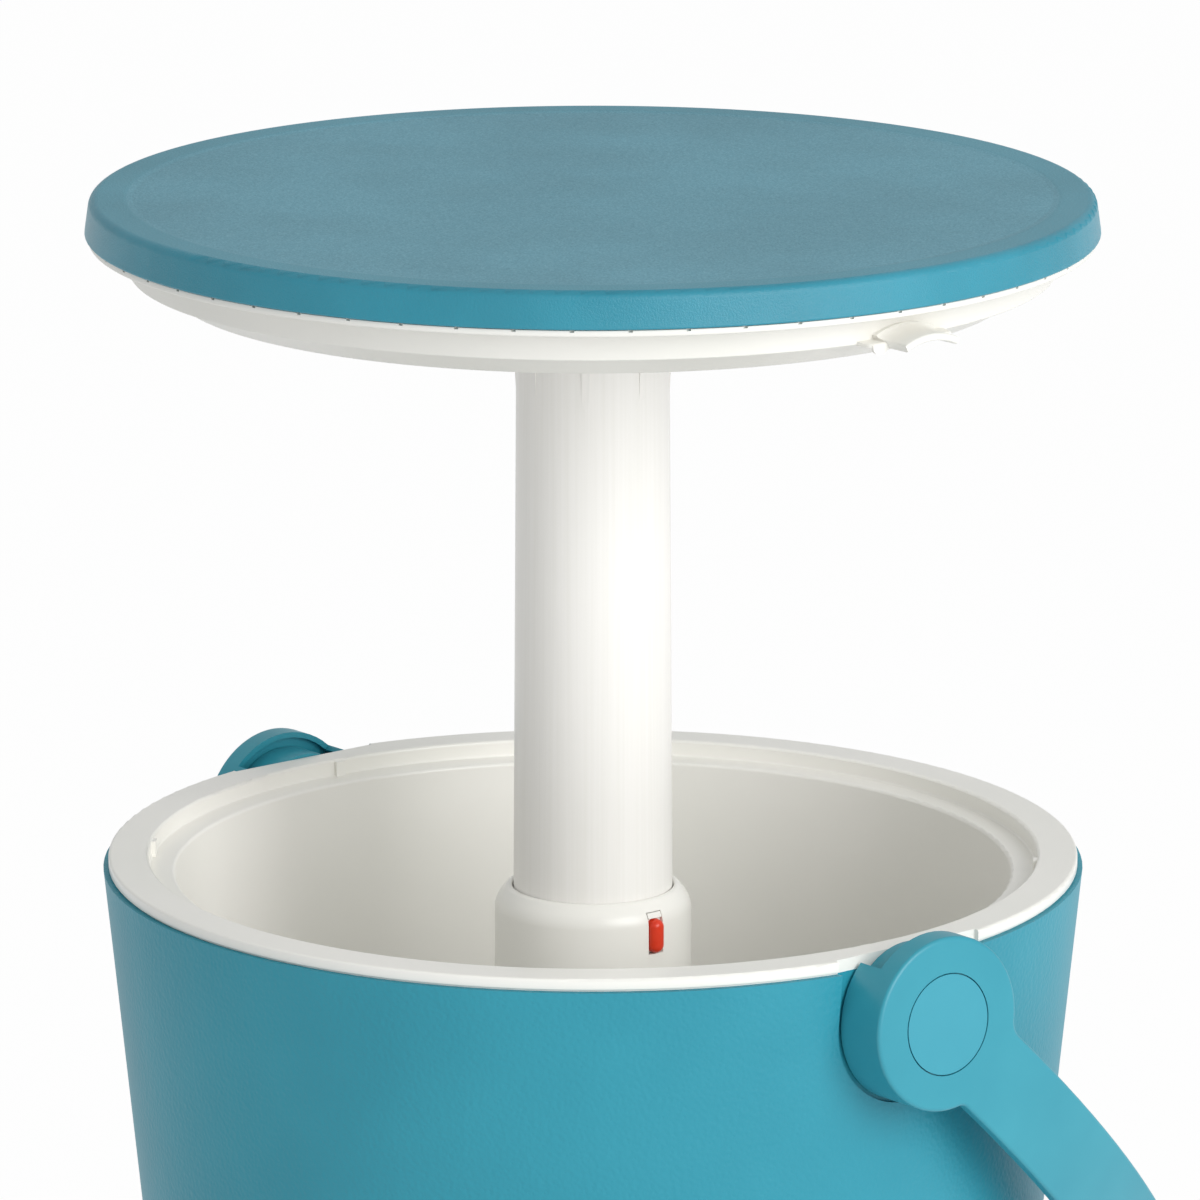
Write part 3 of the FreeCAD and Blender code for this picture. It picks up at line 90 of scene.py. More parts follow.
class Nodes:
    # A material's node tree, with short calls for adding and joining nodes

    def __init__(self, name, color, roughness):
        self.material = bpy.data.materials.new(name)
        self.material.use_nodes = True
        self.tree = self.material.node_tree
        self.shader = self.tree.nodes["Principled BSDF"]
        self.shader.inputs["Base Color"].default_value = (*color, 1)
        self.shader.inputs["Roughness"].default_value = roughness
        self.place = self.add("ShaderNodeTexCoord").outputs["Object"]

    def add(self, kind, **settings):
        node = self.tree.nodes.new(kind)
        for key, value in settings.items():
            setattr(node, key, value)
        return node

    def join(self, output, socket):
        self.tree.links.new(output, socket)

    def noise(self, scale, detail=2.0, roughness=0.5):
        node = self.add("ShaderNodeTexNoise")
        node.inputs["Scale"].default_value = scale
        node.inputs["Detail"].default_value = detail
        node.inputs["Roughness"].default_value = roughness
        self.join(self.place, node.inputs["Vector"])
        return node.outputs["Fac"]

    def cells(self, scale):
        node = self.add("ShaderNodeTexVoronoi", feature="SMOOTH_F1")
        node.inputs["Scale"].default_value = scale
        self.join(self.place, node.inputs["Vector"])
        return node.outputs["Distance"]

    def ramp(self, value, stops):
        node = self.add("ShaderNodeValToRGB")
        ramp = node.color_ramp
        while len(ramp.elements) < len(stops):
            ramp.elements.new(0.5)
        for element, (position, color) in zip(ramp.elements, stops):
            element.position = position
            element.color = (*color, 1)
        self.join(value, node.inputs["Fac"])
        return node.outputs["Color"]

    def bump(self, height, strength, distance, before=None):
        node = self.add("ShaderNodeBump")
        node.inputs["Strength"].default_value = strength
        node.inputs["Distance"].default_value = distance
        self.join(height, node.inputs["Height"])
        if before is not None:
            self.join(before, node.inputs["Normal"])
        return node.outputs["Normal"]

    def math(self, operation, first, second):
        node = self.add("ShaderNodeMath", operation=operation)
        for socket, value in zip(node.inputs, (first, second)):
            if isinstance(value, float):
                socket.default_value = value
            else:
                self.join(value, socket)
        return node.outputs["Value"]

    def within(self, radius, low):
        # One on what lies nearer the column than a radius and above a height
        parts = self.add("ShaderNodeSeparateXYZ")
        self.join(self.place, parts.inputs["Vector"])
        flat = self.add("ShaderNodeVectorMath", operation="MULTIPLY")
        self.join(self.place, flat.inputs[0])
        flat.inputs[1].default_value = (1, 1, 0)
        across = self.add("ShaderNodeVectorMath", operation="LENGTH")
        self.join(flat.outputs["Vector"], across.inputs[0])
        near = self.math("LESS_THAN", across.outputs["Value"], radius)
        above = self.math("GREATER_THAN", parts.outputs["Z"], low)
        return self.math("MULTIPLY", near, above)

    def blended(self, share, first, second):
        node = self.add("ShaderNodeMix", data_type="RGBA")
        self.join(share, node.inputs["Factor"])
        self.join(first, node.inputs[6])
        self.join(second, node.inputs[7])
        return node.outputs[2]

    def mixed(self, first, second):
        node = self.add("ShaderNodeMix", data_type="RGBA", blend_type="MULTIPLY")
        node.inputs["Factor"].default_value = 1.0
        self.join(first, node.inputs[6])
        self.join(second, node.inputs[7])
        return node.outputs[2]

    def stretched_noise(self, scale, height_share):
        # Noise drawn out along the column
        mapping = self.add("ShaderNodeMapping")
        mapping.inputs["Scale"].default_value = (1, 1, height_share)
        self.join(self.place, mapping.inputs["Vector"])
        node = self.add("ShaderNodeTexNoise")
        node.inputs["Scale"].default_value = scale
        self.join(mapping.outputs["Vector"], node.inputs["Vector"])
        return node.outputs["Fac"]

    def colored(self, color):
        self.join(color, self.shader.inputs["Base Color"])

    def rough(self, value, low, high):
        node = self.add("ShaderNodeMapRange")
        node.inputs["To Min"].default_value = low
        node.inputs["To Max"].default_value = high
        self.join(value, node.inputs["Value"])
        self.join(node.outputs["Result"], self.shader.inputs["Roughness"])

    def shaped(self, normal):
        self.join(normal, self.shader.inputs["Normal"])


def linear(color):
    # Colours are written as they look, from 0 to 255, and the shader wants linear light
    result = []
    for value in color:
        share = value / 255
        if share <= 0.04045:
            result.append(share / 12.92)
        else:
            result.append(((share + 0.055) / 1.055) ** 2.4)
    return tuple(result)


def shell_teal():
    # Pebbled moulded plastic
    made = Nodes("shell_teal", linear((44, 142, 162)), 0.46)
    made.colored(made.ramp(made.noise(11, 3), [
        (0.32, linear((32, 141, 161))),
        (0.68, linear((40, 150, 170)))]))
    pebble = made.bump(made.cells(620), 0.30, 0.0006)
    made.shaped(made.bump(made.noise(1500, 3), 0.14, 0.0002, pebble))
    return made.material


def table_teal():
    # Sanded on top, a little less outside the ring, where the grey is painted sheen, and
    # smooth round the edge
    made = Nodes("table_teal", linear((62, 160, 188)), 0.42)
    grain = made.noise(1500, 4, 0.65)
    sanded = made.ramp(grain, [
        (0.30, linear((80, 136, 153))),
        (0.52, linear((101, 159, 176))),
        (0.72, linear((127, 181, 193)))])
    smooth = made.ramp(made.noise(30, 2), [
        (0.3, linear((39, 136, 157))),
        (0.7, linear((47, 142, 163)))])
    mottle = made.ramp(made.noise(16, 3), [
        (0.35, (0.93, 0.93, 0.93)),
        (0.65, (1.05, 1.05, 1.05))])
    # Outside the ring: the grain, greyed a little by painted sheen
    grain_and_sheen = made.ramp(grain, [
        (0.30, linear((76, 136, 153))),
        (0.52, linear((92, 154, 171))),
        (0.72, linear((114, 174, 187)))])
    top = made.within(TOP_RADIUS, FACE_LOW)
    inside = made.blended(made.within(FACE_RADIUS, FACE_LOW), grain_and_sheen, sanded)
    made.colored(made.mixed(made.blended(top, smooth, inside), mottle))
    made.rough(top, 0.36, 0.58)
    made.shaped(made.bump(grain, 0.45, 0.0005, made.bump(made.cells(900), 0.12, 0.0003)))
    return made.material


def handle_teal():
    made = Nodes("handle_teal", linear((49, 145, 163)), 0.36)
    made.colored(made.ramp(made.noise(26, 3), [
        (0.3, linear((46, 146, 165))),
        (0.7, linear((53, 153, 171)))]))
    made.shaped(made.bump(made.noise(1100, 2), 0.07, 0.0002))
    return made.material


def cap_teal():
    # The handle's plastic, a shade paler on the pivot caps
    made = Nodes("cap_teal", linear((56, 152, 171)), 0.34)
    made.colored(made.ramp(made.noise(26, 3), [
        (0.3, linear((54, 151, 171))),
        (0.7, linear((60, 157, 176)))]))
    made.shaped(made.bump(made.noise(1100, 2), 0.07, 0.0002))
    return made.material


def liner_white():
    made = Nodes("liner_white", linear((244, 243, 238)), 0.28)
    made.colored(made.ramp(made.noise(9, 2), [
        (0.35, linear((240, 239, 232))),
        (0.65, linear((245, 243, 237)))]))
    made.shaped(made.bump(made.noise(320, 2), 0.03, 0.0002))
    return made.material


def tray_shaded_white():
    # The liner's plastic, painted a little darker as shade on the tray
    made = Nodes("tray_shaded_white", linear((237, 235, 230)), 0.4)
    made.colored(made.ramp(made.noise(9, 2), [
        (0.35, linear((234, 233, 226))),
        (0.65, linear((240, 238, 232)))]))
    made.shaped(made.bump(made.noise(320, 2), 0.03, 0.0002))
    return made.material


def column_white():
    # Faint upright streaks, from the tool that the tube is drawn through
    made = Nodes("column_white", linear((239, 237, 233)), 0.36)
    streak = made.stretched_noise(900, 0.006)
    made.colored(made.ramp(streak, [
        (0.3, linear((241, 239, 234))),
        (0.7, linear((245, 243, 239)))]))
    made.shaped(made.bump(made.noise(500, 2), 0.03, 0.0002))
    return made.material


def nylon_white():
    made = Nodes("nylon_white", linear((222, 218, 208)), 0.45)
    made.colored(made.ramp(made.noise(40, 2), [
        (0.3, linear((218, 214, 204))),
        (0.7, linear((226, 222, 213)))]))
    made.shaped(made.bump(made.noise(400, 2), 0.05, 0.0002))
    return made.material


def button_red():
    made = Nodes("button_red", linear((219, 52, 24)), 0.3)
    made.colored(made.ramp(made.noise(120, 2), [
        (0.3, linear((222, 52, 20))),
        (0.7, linear((234, 61, 26)))]))
    made.shaped(made.bump(made.noise(900, 2), 0.04, 0.0002))
    return made.material


def foam_cream():
    made = Nodes("foam_cream", linear((238, 230, 205)), 0.9)
    made.colored(made.ramp(made.cells(420), [
        (0.1, linear((226, 216, 188))),
        (0.6, linear((243, 236, 213)))]))
    made.shaped(made.bump(made.cells(300), 0.5, 0.001))
    return made.material


def rubber_black():
    made = Nodes("rubber_black", linear((30, 30, 32)), 0.75)
    made.colored(made.ramp(made.noise(50, 2), [
        (0.3, linear((26, 26, 28))),
        (0.7, linear((36, 36, 38)))]))
    made.shaped(made.bump(made.noise(600, 2), 0.2, 0.0004))
    return made.material


def steel_bright():
    made = Nodes("steel_bright", linear((178, 178, 180)), 0.3)
    made.shader.inputs["Metallic"].default_value = 1.0
    made.rough(made.noise(400, 3), 0.22, 0.38)
    return made.material


FINISHES = {
    "shell_plastic": shell_teal(),
    "table_plastic": table_teal(),
    "handle_plastic": handle_teal(),
    "liner_plastic": liner_white(),
    "column_plastic": column_white(),
    "nylon": nylon_white(),
    "button_plastic": button_red(),
    "foam": foam_cream(),
    "rubber": rubber_black(),
    "steel": steel_bright()}


# Pieces whose colour differs a little from the rest of their slot: the caps are paler, and
# the tray is painted darker as shade
CAP_FINISH = cap_teal()
PIECE_FINISHES = {
    "pivot_cap_front": CAP_FINISH,
    "pivot_cap_rear": CAP_FINISH,
    "lid_tray": tray_shaded_white()}


def finish_of(node, slot):
    return PIECE_FINISHES.get(node, FINISHES[slot])


def dress_cad_nodes():
    for part in record["subparts"]:
        piece = frame["nodes"][part["node"]]
        piece.data.materials.clear()
        piece.data.materials.append(finish_of(part["node"], part["material_slot"]))


dress_cad_nodes()


# Modelling helpers: sizes are in millimetres

def metres(*values):
    return tuple(value * MM for value in values)


def begin(name):
    # A new primitive takes its name, its place goes into its mesh, and editing starts
    piece = bpy.context.object
    piece.name = name
    bpy.ops.object.transform_apply(location=True, rotation=True, scale=True)
    bpy.ops.object.mode_set(mode="EDIT")
    return piece


def end(smooth_angle=SMOOTH_ANGLE):
    bpy.ops.mesh.select_all(action="SELECT")
    bpy.ops.mesh.remove_doubles(threshold=1e-6)
    bpy.ops.mesh.normals_make_consistent(inside=False)
    bpy.ops.object.mode_set(mode="OBJECT")
    bpy.ops.object.shade_smooth_by_angle(angle=math.radians(smooth_angle))


def pick(kind, test):
    # Selects the vertices, edges or faces whose every point passes a test
    bpy.ops.mesh.select_mode(type=kind)
    bpy.ops.mesh.select_all(action="DESELECT")
    mesh = bmesh.from_edit_mesh(bpy.context.object.data)
    if kind == "VERT":
        for vertex in mesh.verts:
            vertex.select_set(test(vertex.co / MM))
    else:
        for item in mesh.edges if kind == "EDGE" else mesh.faces:
            if all(test(vertex.co / MM) for vertex in item.verts):
                item.select_set(True)
    bmesh.update_edit_mesh(bpy.context.object.data)


def on_ring(radius, height):
    def test(point):
        across = math.hypot(point.x, point.y)
        return abs(across - radius) < NEAR and abs(point.z - height) < NEAR
    return test


def round_offset(before, corner, after, radius):
    # How far from a corner its rounding starts
    first = Vector((before[0] - corner[0], before[1] - corner[1]))
    second = Vector((after[0] - corner[0], after[1] - corner[1]))
    return radius / math.tan(first.angle(second) / 2)


def turned(name, corners, closed):
    # A round piece from corners (radius, height, rounding): a circle extruded ring by ring
    bpy.ops.object.select_all(action="DESELECT")
    start = corners[0]
    bpy.ops.mesh.primitive_circle_add(
        vertices=ROUND_STEPS, radius=start[0] * MM, location=metres(0, 0, start[1]))
    piece = begin(name)
    for before, corner in zip(corners, corners[1:]):
        rise = {"value": metres(0, 0, corner[1] - before[1])}
        bpy.ops.mesh.extrude_edges_move(TRANSFORM_OT_translate=rise)
        share = corner[0] / before[0]
        middle = metres(0, 0, corner[1])
        bpy.ops.transform.resize(value=(share, share, 1), center_override=middle)
    first = on_ring(*start[:2])
    last = on_ring(*corners[-1][:2])
    if closed:
        pick("EDGE", lambda point: first(point) or last(point))
        bpy.ops.mesh.bridge_edge_loops()
    else:
        for ring in (first, last):
            pick("EDGE", ring)
            bpy.ops.mesh.edge_face_add()
    round_rings(corners)
    end()
    return piece


def round_rings(corners):
    for i, corner in enumerate(corners):
        if len(corner) == 3:
            after = corners[(i + 1) % len(corners)]
            offset = round_offset(corners[i - 1], corner, after, corner[2])
            pick("EDGE", on_ring(*corner[:2]))
            bpy.ops.mesh.bevel(
                offset=offset * MM, segments=ROUND_CUTS, profile=0.5, affect="EDGES")


def block(name, low, high):
    # A box between two corners
    bpy.ops.object.select_all(action="DESELECT")
    middle = [(low[i] + high[i]) / 2 for i in range(3)]
    bpy.ops.mesh.primitive_cube_add(size=MM, location=metres(*middle))
    bpy.context.object.scale = [high[i] - low[i] for i in range(3)]
    piece = begin(name)
    bpy.ops.object.mode_set(mode="OBJECT")
    return piece


def rod(name, radius, low, high, turn=(0, 0, 0)):
    # A round bar between the middles of its ends
    bpy.ops.object.select_all(action="DESELECT")
    middle = [(low[i] + high[i]) / 2 for i in range(3)]
    depth = math.dist(low, high)
    bpy.ops.mesh.primitive_cylinder_add(
        vertices=BAR_STEPS,
        radius=radius * MM,
        depth=depth * MM,
        location=metres(*middle),
        rotation=turn)
    piece = begin(name)
    bpy.ops.object.mode_set(mode="OBJECT")
    return piece


def bevelled(piece, offset, test):
    # Rounds the edges of a piece that pass a test
    make_active(piece)
    bpy.ops.object.mode_set(mode="EDIT")
    pick("EDGE", test)
    bpy.ops.mesh.bevel(
        offset=offset * MM, segments=BEVEL_CUTS, profile=0.5, affect="EDGES")
    bpy.ops.object.mode_set(mode="OBJECT")
    return piece


def make_active(piece):
    bpy.ops.object.select_all(action="DESELECT")
    piece.select_set(True)
    bpy.context.view_layer.objects.active = piece


def combine(piece, tool, operation):
    # Adds or cuts with another piece, which is then thrown away
    make_active(piece)
    modifier = piece.modifiers.new("combine", "BOOLEAN")
    modifier.operation = operation
    modifier.solver = "EXACT"
    modifier.object = tool
    bpy.ops.object.modifier_apply(modifier=modifier.name)
    bpy.data.objects.remove(tool)


def copied(piece, angle):
    # A copy with its own mesh, turned about the column
    make_active(piece)
    bpy.ops.object.duplicate(linked=False)
    copy = bpy.context.object
    copy.rotation_euler[2] = math.radians(angle)
    bpy.ops.object.transform_apply(location=True, rotation=True, scale=True)
    return copy


def ring_of(piece, count, start):
    # Evenly spaced copies about the column, as one piece
    copies = [copied(piece, start + 360 * i / count) for i in range(count)]
    bpy.data.objects.remove(piece)
    make_active(copies[0])
    for copy in copies:
        copy.select_set(True)
    bpy.ops.object.join()
    return copies[0]


def tidy(piece, smooth_angle=SMOOTH_ANGLE):
    make_active(piece)
    bpy.ops.object.mode_set(mode="EDIT")
    end(smooth_angle)


def stand_in(piece, slot, body, node):
    # The finished piece takes the place of a CAD node, and its finish and motion
    piece.data.materials.clear()
    piece.data.materials.append(finish_of(node, slot))
    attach(piece, body)
    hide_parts(node)


# Lid tray: a turned pan with notches along its seam, screw holes and two lock tabs

TRAY_BORE = 24
TRAY_UNDER = 551.1
TRAY_FLOOR = 554.1
TRAY_SEAT = 558.6
TRAY_LIP_LOW = 569.4
TRAY_LIP_HIGH = 572.1
TRAY_UNDER_RADIUS = 145.0
TRAY_SEAT_RADIUS = 155.8
TRAY_WALL_RADIUS = 160.8
TRAY_NECK_RADIUS = 162.5
TRAY_LIP_RADIUS = 174.8
TRAY_UNDER_ROUND = 3.0
TRAY_EDGE_ROUND = 0.9
TRAY_INSIDE_STEP = 561.6
TRAY_INSIDE_FLOOR = 143.5
TRAY_INSIDE_WALL = 157.8
TRAY_INSIDE_NECK = 159.5
SPIGOT_INSIDE = 169.9
SPIGOT_OUTSIDE = 172.1
SPIGOT_TOP = 576.1
NOTCH_COUNT = 57
NOTCH_START = 2.3
NOTCH_WIDTH = 1.5
NOTCH_HEIGHT = 1.0
NOTCH_DEPTH = 1.2
SEAM_LOW = 571.75
SEAM_FLOOR = 173.4
SEAM_EDGE_ROUND = 0.15
TRAY_SMOOTH_ANGLE = 38
CUT_ROOM = 1
HOLE_RADIUS = 1.55

# Screw holes: the circle's radius, how many, and where the first is, in degrees
TRAY_HOLES = ((130.0, 6, 30), (15.0, 4, 45))

TAB_AXIS = 535.1
TAB_INSIDE_X = 159.6
TAB_WALL_X = 165.8
TAB_ROOT_X = 168.5
TAB_TIP_X = 177.0
TAB_TIP_ROUND = 0.9
TAB_TIP_CUTS = 4
TAB_SWEEP = 51.0
TAB_STEPS = 24
TAB_LOW = 25.2
TAB_HIGH = 27.8
TAB_ROOT_LOW = 26.2
TAB_BASE_HALF = 18.5
TAB_BASE_ROUND = 2.5
TAB_BASE_TOP = 560.0
TAB_BASE_EDGE = 1.0
TAB_END_ROUND = 1.0
TAB_END_CUTS = 6

# The tongue from its root to the wall: x, then its lowest and highest radius from the axis
TAB_SECTIONS = (
    (TAB_ROOT_X, TAB_LOW, TAB_HIGH),
    (166.2, TAB_LOW, 28.0),
    (TAB_WALL_X, TAB_ROOT_LOW, 28.1),
    (164.9, TAB_ROOT_LOW, 28.3),
    (164.1, TAB_ROOT_LOW, 28.6),
    (163.4, TAB_ROOT_LOW, 29.0),
    (163.0, TAB_ROOT_LOW, 29.5),
    (TAB_INSIDE_X, TAB_ROOT_LOW, 29.5))

APRON_X = (166.1, 167.1)
APRON_ROUND = 2.6
APRON_OVERLAP = 0.6
APRON_LOW = 556.2
APRON_OUTER = 17.6
APRON_INNER = 4.0
HUB_ROOM = 24.8


def tray_pan():
    # Its profile from the bore outwards underneath, up the lip, and back inside
    return turned("lid_tray_pan", [
        (TRAY_BORE, TRAY_UNDER),
        (TRAY_UNDER_RADIUS, TRAY_UNDER, TRAY_UNDER_ROUND),
        (TRAY_SEAT_RADIUS, TRAY_SEAT, TRAY_EDGE_ROUND),
        (TRAY_WALL_RADIUS, TRAY_SEAT, TRAY_EDGE_ROUND),
        (TRAY_NECK_RADIUS, TRAY_LIP_LOW, TRAY_EDGE_ROUND),
        (TRAY_LIP_RADIUS, TRAY_LIP_LOW, TRAY_EDGE_ROUND),
        (TRAY_LIP_RADIUS, SEAM_LOW, SEAM_EDGE_ROUND),
        (SEAM_FLOOR, SEAM_LOW),
        (SEAM_FLOOR, TRAY_LIP_HIGH),
        (SPIGOT_OUTSIDE, TRAY_LIP_HIGH),
        (SPIGOT_OUTSIDE, SPIGOT_TOP),
        (SPIGOT_INSIDE, SPIGOT_TOP),
        (SPIGOT_INSIDE, TRAY_LIP_HIGH),
        (TRAY_INSIDE_NECK, TRAY_LIP_HIGH),
        (TRAY_INSIDE_WALL, TRAY_INSIDE_STEP),
        (TRAY_SEAT_RADIUS, TRAY_INSIDE_STEP),
        (TRAY_INSIDE_FLOOR, TRAY_FLOOR),
        (TRAY_BORE, TRAY_FLOOR)], closed=False)


def cut_notches(pan):
    notch = block(
        "notch",
        (TRAY_LIP_RADIUS - NOTCH_DEPTH, -NOTCH_WIDTH / 2, TRAY_LIP_HIGH - NOTCH_HEIGHT),
        (TRAY_LIP_RADIUS + CUT_ROOM, NOTCH_WIDTH / 2, TRAY_LIP_HIGH + CUT_ROOM / 2))
    combine(pan, ring_of(notch, NOTCH_COUNT, NOTCH_START), "DIFFERENCE")


def cut_screw_holes(pan):
    for circle, count, start in TRAY_HOLES:
        hole = rod(
            "hole",
            HOLE_RADIUS,
            (circle, 0, TRAY_UNDER - CUT_ROOM),
            (circle, 0, TRAY_FLOOR + CUT_ROOM))
        combine(pan, ring_of(hole, count, start), "DIFFERENCE")


def grow_inwards(sections):
    # Extrudes the tongue's section towards the wall, through each row of its table
    for before, section in zip(sections, sections[1:]):
        step = {"value": metres(section[0] - before[0], 0, 0)}
        bpy.ops.mesh.extrude_edges_move(TRANSFORM_OT_translate=step)
        share = (section[2] - section[1]) / (before[2] - before[1])
        middle = metres(section[0], 0, TAB_AXIS + before[1])
        bpy.ops.transform.resize(value=(1, 1, share), center_override=middle)
        bpy.ops.transform.translate(value=metres(0, 0, section[1] - before[1]))


def tab_tongue():
    # A section in the plane of the pivots, spun about their axis
    bpy.ops.object.select_all(action="DESELECT")
    middle = ((TAB_ROOT_X + TAB_TIP_X) / 2, 0, TAB_AXIS + (TAB_LOW + TAB_HIGH) / 2)
    bpy.ops.mesh.primitive_plane_add(
        size=MM, location=metres(*middle), rotation=(math.pi / 2, 0, 0))
    bpy.context.object.scale = (TAB_TIP_X - TAB_ROOT_X, TAB_HIGH - TAB_LOW, 1)
    tongue = begin("lock_tab")
    pick("EDGE", lambda point: abs(point.x - TAB_ROOT_X) < NEAR)
    grow_inwards(TAB_SECTIONS)
    pick("VERT", lambda point: abs(point.x - TAB_TIP_X) < NEAR)
    bpy.ops.mesh.bevel(
        offset=TAB_TIP_ROUND * MM, segments=TAB_TIP_CUTS, profile=0.5, affect="VERTICES")
    bpy.ops.mesh.select_mode(type="FACE")
    bpy.ops.mesh.select_all(action="SELECT")
    bpy.ops.mesh.dissolve_faces()
    bpy.ops.mesh.spin(
        steps=TAB_STEPS,
        angle=math.radians(TAB_SWEEP),
        center=metres(0, 0, TAB_AXIS),
        axis=(1, 0, 0))
    bpy.ops.mesh.select_all(action="SELECT")
    bpy.ops.transform.rotate(
        value=-math.radians(TAB_SWEEP / 2),
        orient_axis="X",
        center_override=metres(0, 0, TAB_AXIS))
    pick("EDGE", on_tab_end)
    bpy.ops.mesh.bevel(
        offset=TAB_END_ROUND * MM, segments=TAB_END_CUTS, profile=0.5, affect="EDGES")
    end()
    return tongue


def on_tab_end(point):
    # The upper edge at each end of the tongue, where it stands clear of the base
    across = math.hypot(point.y, point.z - TAB_AXIS)
    turn = math.degrees(math.atan2(abs(point.y), point.z - TAB_AXIS))
    return across > TAB_HIGH - 0.1 and abs(turn - TAB_SWEEP / 2) < 0.2 and point.x > 166


def tab_apron():
    # A thin plate that hangs outside the hub's disc, with a rounded outer corner
    apron = block(
        "apron",
        (APRON_X[0], -APRON_OUTER, APRON_LOW),
        (APRON_X[1], -APRON_INNER, TAB_BASE_TOP - APRON_OVERLAP))

    def outer_low(point):
        return abs(point.y + APRON_OUTER) < NEAR and abs(point.z - APRON_LOW) < NEAR
    return bevelled(apron, APRON_ROUND, outer_low)


def lock_tab():
    tab = tab_tongue()
    # The tongue on its base, with its apron, cut clear of the hub's disc
    base = block(
        "base",
        (TAB_INSIDE_X, -TAB_BASE_HALF, TRAY_SEAT),
        (APRON_X[1], TAB_BASE_HALF, TAB_BASE_TOP))

    def outer_high(point):
        return point.z > TAB_BASE_TOP - NEAR and point.x > TAB_INSIDE_X + NEAR
    for side in (-1, 1):
        def at_end(point):
            return point.x > APRON_X[1] - NEAR and side * point.y > TAB_BASE_HALF - NEAR
        bevelled(base, TAB_BASE_ROUND, at_end)
    bevelled(base, TAB_BASE_EDGE, outer_high)
    for piece in (base, tab_apron()):
        combine(tab, piece, "UNION")
    room = rod(
        "room",
        HUB_ROOM,
        (TAB_WALL_X, 0, TAB_AXIS),
        (TAB_TIP_X + 2 * CUT_ROOM, 0, TAB_AXIS),
        (0, math.pi / 2, 0))
    combine(tab, room, "DIFFERENCE")
    return tab


def make_tray():
    pan = tray_pan()
    cut_screw_holes(pan)
    tab = lock_tab()
    for angle in (0, 180):
        combine(pan, copied(tab, angle), "UNION")
    bpy.data.objects.remove(tab)
    cut_notches(pan)
    tidy(pan, TRAY_SMOOTH_ANGLE)
    stand_in(pan, "liner_plastic", "table", "lid_tray")


# Guide collar: a domed cap round the column, with a window for the button.
# Its shoulder is a radius, a height and a rounding

COLLAR_TOP = 337.2
COLLAR_BASE = 290.0
COLLAR_BORE = 28.49
COLLAR_BORE_ROUND = 0.6
COLLAR_TOP_RADIUS = 30.39
COLLAR_TOP_ROUND = 2.2
COLLAR_SHOULDER = (34.65, 331.6, 8.0)
COLLAR_BASE_RADIUS = 34.86
COLLAR_CAVITY_RADIUS = 33.15
COLLAR_CAVITY_TOP = 326.3
CARRIER_ROOM_HALF = 5.0
CARRIER_ROOM_RISE = 6.5
WINDOW_HALF = 3.25
WINDOW_LOW = 318.7
WINDOW_HIGH = 333.6
CUT_FROM_X = 20
CUT_TO_X = 40
BUTTON_Z = 325.1
BUTTON_WIDTH = 5.9
BUTTON_HEIGHT = 12.2
BUTTON_BACK_X = 32.9
BUTTON_FACE_X = 37.05
BUTTON_STEPS = 48
BUTTON_ROUND = 2.6
BUTTON_CUTS = 8
BUTTON_SMOOTH_ANGLE = 60
STEM_RADIUS = 1.6
STEM_X = (31.3, 33.4)


def make_collar():
    collar = turned("collar_dome", [
        (COLLAR_BORE, COLLAR_CAVITY_TOP),
        (COLLAR_BORE, COLLAR_TOP, COLLAR_BORE_ROUND),
        (COLLAR_TOP_RADIUS, COLLAR_TOP, COLLAR_TOP_ROUND),
        COLLAR_SHOULDER,
        (COLLAR_BASE_RADIUS, COLLAR_BASE),
        (COLLAR_CAVITY_RADIUS, COLLAR_BASE),
        (COLLAR_CAVITY_RADIUS, COLLAR_CAVITY_TOP)], closed=True)
    room = block(
        "room",
        (CUT_FROM_X, -CARRIER_ROOM_HALF, BUTTON_Z - CARRIER_ROOM_RISE),
        (COLLAR_CAVITY_RADIUS, CARRIER_ROOM_HALF, BUTTON_Z + CARRIER_ROOM_RISE))
    window = block(
        "window",
        (CUT_FROM_X, -WINDOW_HALF, WINDOW_LOW),
        (CUT_TO_X, WINDOW_HALF, WINDOW_HIGH))
    for tool in (room, window):
        combine(collar, tool, "DIFFERENCE")
    tidy(collar)
    stand_in(collar, "liner_plastic", "bucket", "guide_collar")


def make_button():
    # A pill with a rounded face, on a short stem
    bpy.ops.object.select_all(action="DESELECT")
    half = BUTTON_WIDTH / 2
    reach = BUTTON_HEIGHT / 2 - half
    lower_middle = metres(BUTTON_BACK_X, 0, BUTTON_Z - reach)
    bpy.ops.mesh.primitive_circle_add(
        vertices=BUTTON_STEPS,
        radius=half * MM,
        fill_type="NGON",
        location=lower_middle,
        rotation=(0, math.pi / 2, 0))
    button = begin("button_pill")
    bpy.ops.mesh.select_all(action="SELECT")
    bpy.ops.transform.rotate(
        value=math.pi / BUTTON_STEPS, orient_axis="X", center_override=lower_middle)
    pick("VERT", lambda point: point.z > BUTTON_Z - reach)
    bpy.ops.transform.translate(value=metres(0, 0, 2 * reach))
    bpy.ops.mesh.select_mode(type="FACE")
    bpy.ops.mesh.select_all(action="SELECT")
    depth = {"value": metres(BUTTON_FACE_X - BUTTON_BACK_X, 0, 0)}
    bpy.ops.mesh.extrude_region_move(TRANSFORM_OT_translate=depth)
    pick("EDGE", lambda point: abs(point.x - BUTTON_FACE_X) < NEAR)
    bpy.ops.mesh.bevel(
        offset=BUTTON_ROUND * MM, segments=BUTTON_CUTS, profile=0.5, affect="EDGES")
    end(BUTTON_SMOOTH_ANGLE)
    stem = rod(
        "stem",
        STEM_RADIUS,
        (STEM_X[0], 0, BUTTON_Z),
        (STEM_X[1], 0, BUTTON_Z),
        (0, math.pi / 2, 0))
    combine(button, stem, "UNION")
    tidy(button, BUTTON_SMOOTH_ANGLE)
    stand_in(button, "button_plastic", "button", "release_button")


make_tray()
make_collar()
make_button()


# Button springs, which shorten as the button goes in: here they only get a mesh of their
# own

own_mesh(frame["nodes"]["button_springs"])


# Floor, light and world

